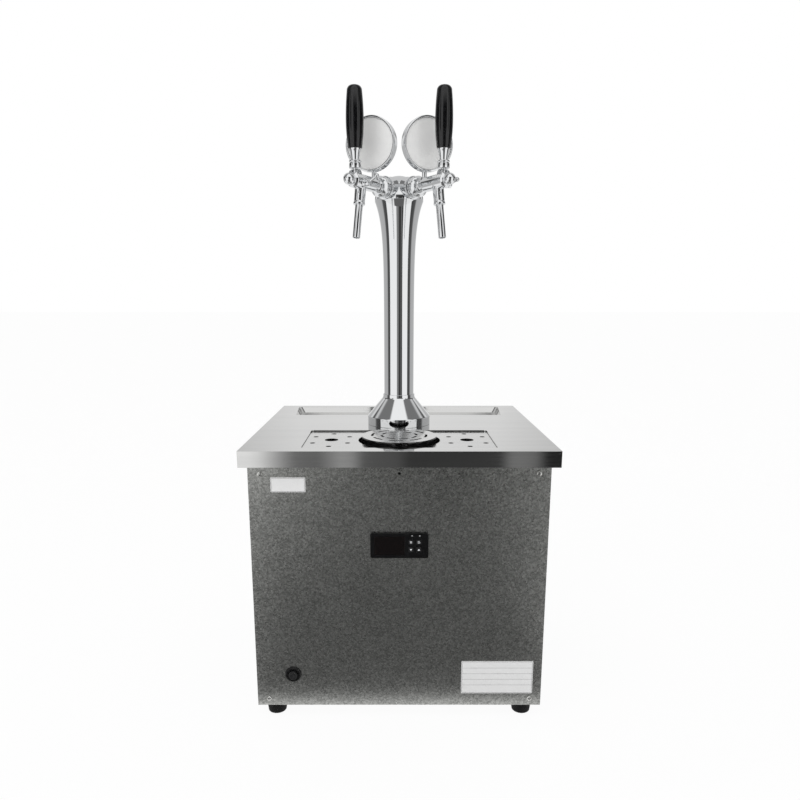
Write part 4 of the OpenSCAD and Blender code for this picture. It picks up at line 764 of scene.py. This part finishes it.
def push_switch():
    """The round switch: a stepped bezel and its push button."""
    place = on_front(SWITCH_X, SWITCH_Z)
    r, hole, barrel, face = SWITCH_D / 2, BUTTON_D / 2 + BUTTON_GAP, SWITCH_BARREL_D / 2, SWITCH_OUT
    bezel = turned("switch_bezel", softened([
        (barrel, -SWITCH_DEPTH, 0.5), (barrel, 0), (r, 0, 0.3), (r, 1.1, 0.5),
        (r - 1.6, face, 0.5), (r - 3.4, face, 0.3), (r - 3.7, face - 0.6, 0.2),
        (hole + 0.5, face - 0.6, 0.3), (hole, face - 1.1, 0.2), (hole, -SWITCH_BORE_DEPTH),
        (0, -SWITCH_BORE_DEPTH), (0, -SWITCH_DEPTH),
    ]), place)
    dress(bezel, SWITCH_BLACK, "cabinet", "switch_housing", slot="case_black")
    r, top = BUTTON_D / 2, SWITCH_OUT + BUTTON_OUT
    button = turned("push_button", softened([
        (0, top - BUTTON_LEN), (r, top - BUTTON_LEN, 0.3), (r, top, 0.9), (r - 1.6, top, 0.5), (0, top - 0.7),
    ]), place)
    dress(button, KEY_BLACK, "button", "power_button", slot="case_black")


def blank_plates():
    """Two plain plates on the front, bordered and ruled."""
    for name, x, z, w, h, rules in BLANK_PLATES:
        bm = bmesh.new()
        prism(bm, rounded_plate(w, h, PLATE_CORNER), PLATE_T, on_front(x, z))
        dress(made(name, bm), LABEL_WHITE, "cabinet")
        bm = bmesh.new()
        lift = on_front(x, z, PLATE_T)
        wide, high = w - 2 * PLATE_MARGIN, h - 2 * PLATE_MARGIN
        for y in (-1, 1):
            prism(bm, rectangle(wide, BORDER_W, 0, y * high / 2), PRINT_T, lift)
        for side in (-1, 1):
            prism(bm, rectangle(BORDER_W, high - BORDER_W, side * wide / 2, 0), PRINT_T, lift)
        for y in rules:
            prism(bm, rectangle(wide - 2 * BORDER_W, RULE_W, 0, y), PRINT_T, lift)
        dress(made(name + "_border", bm), PRINT_GREY, "cabinet")


# Tower and taps

def tap_place(side):
    """A tap's frame: x sideways, y up, z out from the tower along the tap's axis."""
    yaw = Matrix.Rotation(math.radians(side * TAP_YAW), 4, "Z")
    return Matrix.Translation((0, TOWER_Y, TAP_Z)) @ yaw @ TO_FRONT


def upright(u):
    """Stands on a tap's axis at u: z up, -y forward."""
    return Matrix.Translation((0, 0, u)) @ Matrix.Rotation(-math.pi / 2, 4, "X")


def column_r(z):
    """The column's radius at a height above the top."""
    return COLUMN_D / 2 + (FLARE_D - COLUMN_D) / 2 * math.exp((z - FLARE_Z) / FLARE_LEN)


def tower():
    """Bell base, trumpet column and domed cap with its two bosses."""
    stand = Matrix.Translation((0, TOWER_Y, TOP_Z))
    bore, rim = COLUMN_D / 2 + BASE_GAP, BASE_D / 2
    neck = bore + BASE_WALL
    base = softened([
        (bore, 0), (rim, 0, 0.6), (rim, BASE_RIM_H, 2.5), (neck, BASE_CONE_H, 7), (neck, BASE_H, 0.5),
        (bore, BASE_H),
    ], 12)
    dress(turned("bell_base", base, stand, FINE_AROUND), CHROME, "cabinet", "tower_base", slot="chrome")
    steps = 96
    heights = [FLARE_Z * (1 - (1 - k / steps) ** 2) for k in range(steps + 1)]
    outside = [(column_r(z), z) for z in heights]
    inside_out = [(r - COLUMN_WALL, z) for r, z in reversed(outside)]
    column = turned("trumpet_column", outside + inside_out, stand, FINE_AROUND)
    dress(column, CHROME, "cabinet", "tower_column", slot="chrome")
    bm = bmesh.new()
    dome, steps = FLARE_D / 2, 48
    angles = [math.pi / 2 * k / steps for k in range(1, steps)]
    arc = [(dome * math.cos(a), dome * math.sin(a)) for a in angles]
    turn(bm, [
        (dome - 5, -CAP_SPIGOT), (dome - 4, 0.05), (dome - 0.4, 0.05), *arc, (0, dome),
        (0, dome - CAP_WALL), (dome - 7, 1),
    ], stand @ Matrix.Translation((0, 0, FLARE_Z)), FINE_AROUND)
    r = BOSS_D / 2
    boss = softened([
        (0, BOSS_FROM), (r + BOSS_FLARE, BOSS_FROM), (r, BOSS_FLARE_U, 4), (r, BOSS_U, 0.8), (0, BOSS_U),
    ], 8)
    for side in SIDES.values():
        turn(bm, boss, tap_place(side))
    dress(made("domed_cap", bm), CHROME, "cabinet", "tower_cap", slot="chrome")


def couplings():
    """Shank flanges and coupling nuts of both taps."""
    shanks, nuts = bmesh.new(), bmesh.new()
    end, r, bore, thread = NUT_U + NUT_LEN, NUT_D / 2, NUT_BORE_D / 2, SHANK_D / 2 + 0.3
    flange, face = FLANGE_D / 2, BOSS_U + FLANGE_T
    shank = softened([
        (0, BOSS_U), (flange, BOSS_U, 0.4), (flange, face, 1.2), (SHANK_D / 2, face, 0.3),
        (SHANK_D / 2, NUT_U + 8), (0, NUT_U + 8),
    ])
    nut = softened([
        (thread, NUT_U), (r, NUT_U, 1.2), (r, NUT_U + 3.5, 0.4), (r - NUT_GROOVE, NUT_U + 4, 0.3),
        (r - NUT_GROOVE, NUT_U + 5, 0.3), (r, NUT_U + 5.5, 0.4), (r, end - 4, 1.6), (r - 3.2, end, 0.9),
        (bore, end), (bore, end - NUT_LIP), (thread, end - NUT_LIP),
    ])
    for side in SIDES.values():
        turn(shanks, shank, tap_place(side))
        turn(nuts, nut, tap_place(side))
    dress(made("shank_flanges", shanks), CHROME, "cabinet", "shanks", slot="chrome")
    dress(made("coupling_rings", nuts), CHROME, "cabinet", "coupling_nuts", slot="chrome")


def handle_r(t):
    """A handle's radius at a share of its height, widest at its belly."""
    reach = HANDLE_BELLY if t < HANDLE_BELLY else 1 - HANDLE_BELLY
    share = abs(t - HANDLE_BELLY) / reach
    return HANDLE_D / 2 - (HANDLE_D - HANDLE_FOOT_D) / 2 * share * share


def handle_outline():
    """A black handle from its foot up: a swelling with a round top."""
    shoulder, steps, round_steps = HANDLE_H - HANDLE_ROUND, 48, 16
    points = [(0, 0), (handle_r(0) - 0.5, 0), (handle_r(0), 0.5)]
    for k in range(1, steps + 1):
        z = k / steps * shoulder
        points.append((handle_r(z / HANDLE_H), z))
    middle = points[-1][0] - HANDLE_ROUND
    for k in range(1, round_steps + 1):
        a = math.pi / 2 * k / round_steps
        points.append((middle + HANDLE_ROUND * math.cos(a), shoulder + HANDLE_ROUND * math.sin(a)))
    return points + [(0, HANDLE_H + 0.15)]


def spout(name, place):
    """The tilted spout tube under a tap."""
    down = place @ upright(SPOUT_U) @ Matrix.Rotation(math.radians(180 - SPOUT_TILT), 4, "X")
    r, inner = SPOUT_D / 2, SPOUT_D / 2 - SPOUT_WALL
    tube = softened([
        (inner, SPOUT_FROM), (r, SPOUT_FROM, 0.2), (r, SPOUT_LEN, 0.45), (inner, SPOUT_LEN, 0.45),
        (inner, SPOUT_FROM + 1),
    ])
    piece = turned(name + "_spout_tube", tube, down, 64)
    dress(piece, CHROME, "cabinet", name + "_spout", slot="chrome")


def lever(name, place):
    """A tap's lever on its trunnion, with collar, ferrule and black handle."""
    body = name + "_tap_handle"
    stand = place @ upright(HANDLE_U)
    r, low, high = COLLAR_D / 2, COLLAR_Z, COLLAR_Z + COLLAR_H
    groove, step = low + COLLAR_H * 0.6, COLLAR_GROOVE
    bm = bmesh.new()
    turn(bm, softened([
        (0, low), (r, low, 1.1), (r, groove, 0.4), (r - step, groove + step, 0.3),
        (r - step, groove + 2 * step, 0.3), (r, groove + 3 * step, 0.4), (r, high, 0.9), (0, high),
    ]), stand)
    half = TRUNNION_LEN / 2
    bar(bm, (-half, 0, PIVOT_UP), (half, 0, PIVOT_UP), TRUNNION_D, 0.3, stand)
    bar(bm, (0, 0, PIVOT_UP), (0, 0, low + 1), LEVER_NECK_D, 0.2, stand)
    bar(bm, (0, 0, -1), (0, 0, PIVOT_UP), LEVER_TAIL_D, 0.2, stand)
    ball(bm, (0, 0, 0), LEVER_TIP_D, stand)
    dress(made(name + "_lever_collar", bm), CHROME, body, name + "_lever", slot="chrome")
    tip, top, steps = FERRULE_TIP_D / 2, FERRULE_D / 2, 24
    bend = (tip, 1), (tip + 0.4, FERRULE_H * 0.55), (top, FERRULE_H - 1.5)
    cone = [bezier(*bend, k / steps) for k in range(steps + 1)]
    cup = softened([(0, 0), (tip, 0, 0.4), *cone, (top, FERRULE_H, 0.4), (0, FERRULE_H)])
    ferrule = turned(name + "_ferrule_cup", cup, stand @ Matrix.Translation((0, 0, FERRULE_Z)))
    dress(ferrule, CHROME, body, name + "_ferrule", slot="chrome")
    grip = turned(name + "_black_grip", handle_outline(), stand @ Matrix.Translation((0, 0, HANDLE_Z)))
    dress(grip, HANDLE_BLACK, body, name + "_handle", slot="handle_black")


def flow_lever(name, place):
    """The small side lever that sets the flow."""
    bm = bmesh.new()
    at = place @ Matrix.Translation((0, FLOW_Y, FLOW_U))
    bar(bm, (FLOW_SHAFT_X, 0, 0), (FLOW_HUB_X + 1, 0, 0), FLOW_SHAFT_D, 0.2, at)
    bar(bm, (FLOW_HUB_X, 0, 0), (FLOW_HUB_X + FLOW_HUB_T, 0, 0), FLOW_HUB_D, 0.8, at)
    hub = Matrix.Translation((FLOW_HUB_X + FLOW_HUB_T / 2, 0, 0))
    arm = at @ hub @ Matrix.Rotation(math.radians(FLOW_RISE), 4, "Z")
    bar(bm, (0, 0, 0), (FLOW_ARM, 0, 0), FLOW_ARM_D, 0.2, arm)
    ball(bm, (FLOW_ARM, 0, 0), FLOW_KNOB_D, arm)
    dress(made(name + "_flow_arm", bm), CHROME, name + "_flow", name + "_flow_lever", slot="chrome")


def medallion(name, side, place):
    """A round bare medallion with a thick bright rim, on a stem that runs up its back."""
    facing = Matrix.Rotation(math.radians(-side * MEDAL_TURN), 4, "Y")
    at = place @ Matrix.Translation((0, MEDAL_Y, MEDAL_U)) @ facing @ Matrix.Translation((0, 0, MEDAL_OUT))
    r, pocket, fillet = MEDAL_D / 2, MEDAL_D / 2 - MEDAL_RIM, MEDAL_RIM * 0.49
    bed = MEDAL_T - MEDAL_DISH - MEDAL_FACE_T
    bm = bmesh.new()
    turn(bm, softened([
        (0, 0), (r, 0, 3), (r, MEDAL_T, fillet), (pocket, MEDAL_T, fillet), (pocket, bed), (0, bed),
    ], 10), at, FINE_AROUND)
    foot = place @ Matrix.Translation((0, 0, MEDAL_U))
    bar(bm, (0, MEDAL_STEM_FROM, 0), (0, MEDAL_STEM_TOP, 0), MEDAL_STEM_D, 1.2, foot)
    dress(made(name + "_medal_rim", bm), CHROME, "cabinet", name + "_medallion", slot="chrome")
    edge, top = pocket - MEDAL_FACE_GAP, bed + MEDAL_FACE_T
    flat = edge - MEDAL_FACE_EASE
    face = [(0, bed), (edge, bed), (edge, top - MEDAL_FACE_EASE), (flat, top)]
    face += [(share * flat, top + MEDAL_CROWN * (1 - share * share)) for share in (0.8, 0.6, 0.4, 0.2)]
    piece = turned(name + "_medal_plate", face + [(0, top + MEDAL_CROWN)], at, 128)
    # One node holds both faces, so the first piece stands for it
    both = ["medallion_faces"] if name == "left" else []
    dress(piece, MEDAL_FACE, "cabinet", *both, slot="medal_face")


def tap(name, side):
    """One tap: cast body, spout, lever, flow lever and medallion."""
    place = tap_place(side)
    body = cast(name + "_cast_body", name + "_tap_body")
    dress(body, CHROME, "cabinet", name + "_tap_body", slot="chrome")
    spout(name, place)
    lever(name, place)
    flow_lever(name, place)
    medallion(name, side, place)


# Back and inside

def rear_fittings():
    """Beer inlets and cable gland on the back."""
    dress_solid("beer_tails", "beer_inlets", 0.3, CHROME, "cabinet", "chrome")
    dress_solid("cord_gland", "cable_gland", 0.4, CASE_BLACK, "cabinet", "case_black")


INSIDE = {
    "base_pan": ZINC, "corner_posts": ZINC, "rinser_valve": SHADED_BASIN_STEEL, "tower_studs": SCREW_STEEL,
    "column_foam": FOAM, "beer_lines": HOSE, "left_plunger": BRASS, "right_plunger": BRASS,
    "compressor": MOTOR_BLACK, "compressor_mounts": RUBBER, "condenser": ZINC, "fan_shroud": ZINC,
    "fan_motor": MOTOR_BLACK, "fan": CASE_BLACK, "tank": FOAM, "tank_lid": FOAM, "beer_coils": PLATE_STEEL,
    "evaporator": COPPER, "agitator_motor": MOTOR_BLACK, "agitator": PLATE_STEEL,
}


def inside():
    """Finishes of the solids that stay as they are."""
    for node, material in INSIDE.items():
        for place in nodes[node].material_slots:
            place.material = material


# Studio: the wall in millimetres, as mesh work is, the rest in metres

FLOOR_HALF, FLOOR_GREY, FLOOR_WHITE = 30, 0.9, 0.94
FLOOR_IN_METAL, FLOOR_IN_METAL_DARK = 0.92, 0.13
DARK_Y, DARK_X, DARK_SLANT = (-0.238, -0.205), (0.12, 0.2), 0.35
WALL_R, WALL_FOOT, WALL_TOP, CEILING_HOLE_R = 1500, 2, 2600, 5
TAP_BAND, OVERHEAD_BAND = (0.9, 1.0), (1.3, 1.5)
WORLD_LEVEL = 0.8
LAMP_SIZE, LAMP_WATTS, LAMP_AT, LAMP_AIM = (1.6, 1.1), 12, (-0.5, -1.2, 2.0), (0, 0, 0.3)
EYE_AT, EYE_DOWN, EYE_LENS, EYE_SHIFT = (-0.0044, -1.023, 0.569), 12.34, 30.645, (0.005, 0.06)

# Grey levels round the wall, by degrees from straight ahead of the cabinet, left of it below zero
WALL_LEVELS = [
    (-180, 0.85), (-166, 0.8), (-150, 0.52), (-98, 0.48), (-90, 0.10), (-72, 0.06), (-69, 1.0), (-17.5, 1.0),
    (-14.8, 0.45), (-12.8, 0.19), (-8.8, 0.14), (-8.2, 0.33), (-7.6, 0.16), (-7, 0.38), (-4.8, 0.30),
    (-4.2, 0.11), (0.8, 0.09), (1.2, 0.045), (13, 0.05), (14, 0.22), (16.8, 0.2), (17.4, 0.015), (23, 0.03),
    (26, 1.0), (66, 1.0), (69, 0.06), (90, 0.10), (98, 0.48), (150, 0.52), (166, 0.8), (180, 0.85),
]
TAP_LEVELS = [
    (-180, 0.85), (-168, 0.8), (-160, 0.14), (-146, 0.10), (-142, 0.75), (-130, 0.75), (-126, 0.08),
    (-72, 0.05), (-68, 0.9), (-55, 0.9), (-52, 0.05), (-44, 0.05), (-40, 1.0), (-17, 1.0), (-14, 0.04),
    (30, 0.03), (33, 1.0), (50, 1.0), (53, 0.05), (56, 0.05), (58, 0.9), (67, 0.9), (70, 0.05), (126, 0.08),
    (130, 0.75), (142, 0.75), (146, 0.10), (160, 0.14), (168, 0.8), (180, 0.85),
]
OVERHEAD_LEVELS = [
    (-180, 0.65), (-112, 0.65), (-103, 0.2), (-57, 0.2), (-48, 1.0), (48, 1.0), (57, 0.2), (103, 0.2),
    (112, 0.65), (180, 0.65),
]


def light_paths(tree):
    """The light path's outputs in a stage material."""
    return tree.nodes.new("ShaderNodeLightPath").outputs


def mixed(tree, share, first, second):
    """Mixes two shaders by a share."""
    node = tree.nodes.new("ShaderNodeMixShader")
    for value, socket in zip((share, first, second), node.inputs):
        tree.links.new(value, socket)
    return node.outputs[0]


def glow(tree, colour=None):
    """Plain emission, white or of a socket's colour."""
    node = tree.nodes.new("ShaderNodeEmission")
    node.inputs["Color"].default_value = (1.0, 1.0, 1.0, 1.0)
    if colour is not None:
        tree.links.new(colour, node.inputs["Color"])
    return node.outputs[0]


def ramp(tree, value, stops):
    """Grey levels along a value from 0 to 1."""
    node = tree.nodes.new("ShaderNodeValToRGB")
    elements = node.color_ramp.elements
    while len(elements) < len(stops):
        elements.new(0.5)
    for element, (at, level) in zip(elements, stops):
        element.position = at
        element.color = (level, level, level, 1.0)
    tree.links.new(value, node.inputs["Fac"])
    return node.outputs["Color"]


def stage_material(name):
    """A bare material of the stage: its tree, its object coordinates apart, and its end socket."""
    material = bpy.data.materials.new(name)
    material.use_nodes = True
    tree = material.node_tree
    tree.nodes.remove(tree.nodes["Principled BSDF"])
    split = tree.nodes.new("ShaderNodeSeparateXYZ")
    tree.links.new(tree.nodes.new("ShaderNodeTexCoord").outputs["Object"], split.inputs[0])
    return material, tree, split.outputs, tree.nodes["Material Output"].inputs["Surface"]


def floor():
    """A pale floor that keeps the shadow. Metal sees it dark straight in front of the cabinet."""
    material, tree, place, surface = stage_material("pale_floor")
    paths = light_paths(tree)
    plain = tree.nodes.new("ShaderNodeBsdfDiffuse")
    plain.inputs["Color"].default_value = (FLOOR_GREY, FLOOR_GREY, FLOOR_GREY, 1.0)
    in_front = spread(tree, place["Y"], *DARK_Y, 1.0, 0.0)
    aside = math_node(tree, "MULTIPLY_ADD", place["Y"], DARK_SLANT, math_node(tree, "ABSOLUTE", place["X"]))
    dark = math_node(tree, "MULTIPLY", in_front, spread(tree, aside, *DARK_X, 1.0, 0.0))
    in_metal = glow(tree, spread(tree, dark, 0.0, 1.0, FLOOR_IN_METAL, FLOOR_IN_METAL_DARK))
    lit = mixed(tree, paths["Is Glossy Ray"], plain.outputs[0], in_metal)
    white = math_node(tree, "MULTIPLY", paths["Is Camera Ray"], FLOOR_WHITE)
    tree.links.new(mixed(tree, white, lit, glow(tree)), surface)
    bm = bmesh.new()
    bmesh.ops.create_grid(bm, x_segments=1, y_segments=1, size=FLOOR_HALF)
    mesh = bpy.data.meshes.new("floor")
    bm.to_mesh(mesh)
    bm.free()
    mesh.materials.append(material)
    new_piece("floor", mesh)


def studio_wall():
    """A round wall and ceiling that only glossy rays see, with grey levels for each band of height."""
    material, tree, place, surface = stage_material("studio_screens")
    front = math_node(tree, "MULTIPLY", place["Y"], -1.0)
    bearing = math_node(tree, "ARCTAN2", place["X"], front)
    share = spread(tree, bearing, -math.pi, math.pi, 0.0, 1.0)

    def grey(levels):
        return ramp(tree, share, [((degrees + 180) / 360, level) for degrees, level in levels])

    level = grey(WALL_LEVELS)
    for levels, heights in ((TAP_LEVELS, TAP_BAND), (OVERHEAD_LEVELS, OVERHEAD_BAND)):
        above = spread(tree, place["Z"], *heights, 0.0, 1.0)
        below = math_node(tree, "MULTIPLY", level, math_node(tree, "SUBTRACT", 1.0, above))
        level = math_node(tree, "MULTIPLY_ADD", above, grey(levels), below)
    clear = tree.nodes.new("ShaderNodeBsdfTransparent").outputs[0]
    seen = mixed(tree, light_paths(tree)["Is Glossy Ray"], clear, glow(tree, level))
    tree.links.new(seen, surface)
    wall = turned("studio_wall", [
        (WALL_R, WALL_FOOT), (WALL_R, WALL_TOP), (CEILING_HOLE_R, WALL_TOP), (CEILING_HOLE_R, WALL_TOP + 1),
        (WALL_R + 1, WALL_TOP + 1), (WALL_R + 1, WALL_FOOT),
    ])
    wall.data.materials.append(material)


def lamps():
    """A white world and one large soft lamp above."""
    world = bpy.data.worlds.new("studio")
    world.use_nodes = True
    scene.world = world
    tree = world.node_tree
    paths = light_paths(tree)
    seen = math_node(tree, "ADD", paths["Is Camera Ray"], paths["Is Glossy Ray"])
    seen = math_node(tree, "ADD", seen, paths["Is Transmission Ray"])
    level = spread(tree, seen, 0.0, 1.0, WORLD_LEVEL, 1.0)
    tree.nodes["Background"].inputs["Color"].default_value = (1.0, 1.0, 1.0, 1.0)
    tree.links.new(level, tree.nodes["Background"].inputs["Strength"])
    soft = bpy.data.lights.new("soft_top", "AREA")
    soft.shape = "RECTANGLE"
    soft.size, soft.size_y = LAMP_SIZE
    soft.energy = LAMP_WATTS
    lamp = bpy.data.objects.new("soft_top", soft)
    lamp.location = LAMP_AT
    lamp.visible_glossy = False
    lamp.rotation_euler = (Vector(LAMP_AIM) - lamp.location).to_track_quat("-Z", "Y").to_euler()
    scene.collection.objects.link(lamp)


def camera():
    """The photograph's viewpoint."""
    eye = bpy.data.cameras.new("camera")
    eye.sensor_width, eye.lens = 36, EYE_LENS
    eye.shift_x, eye.shift_y = EYE_SHIFT
    eye.clip_start, eye.clip_end = 0.05, 100
    stand = bpy.data.objects.new("camera", eye)
    stand.location = EYE_AT
    stand.rotation_euler = (math.radians(90 - EYE_DOWN), 0, 0)
    scene.collection.objects.link(stand)
    scene.camera = stand


camera()
lamps()
floor()
studio_wall()
cabinet()
drip_tray()
controller()
push_switch()
blank_plates()
tower()
couplings()
for tap_name, tap_side in SIDES.items():
    tap(tap_name, tap_side)
rear_fittings()
inside()
scene.view_settings.view_transform = "Standard"
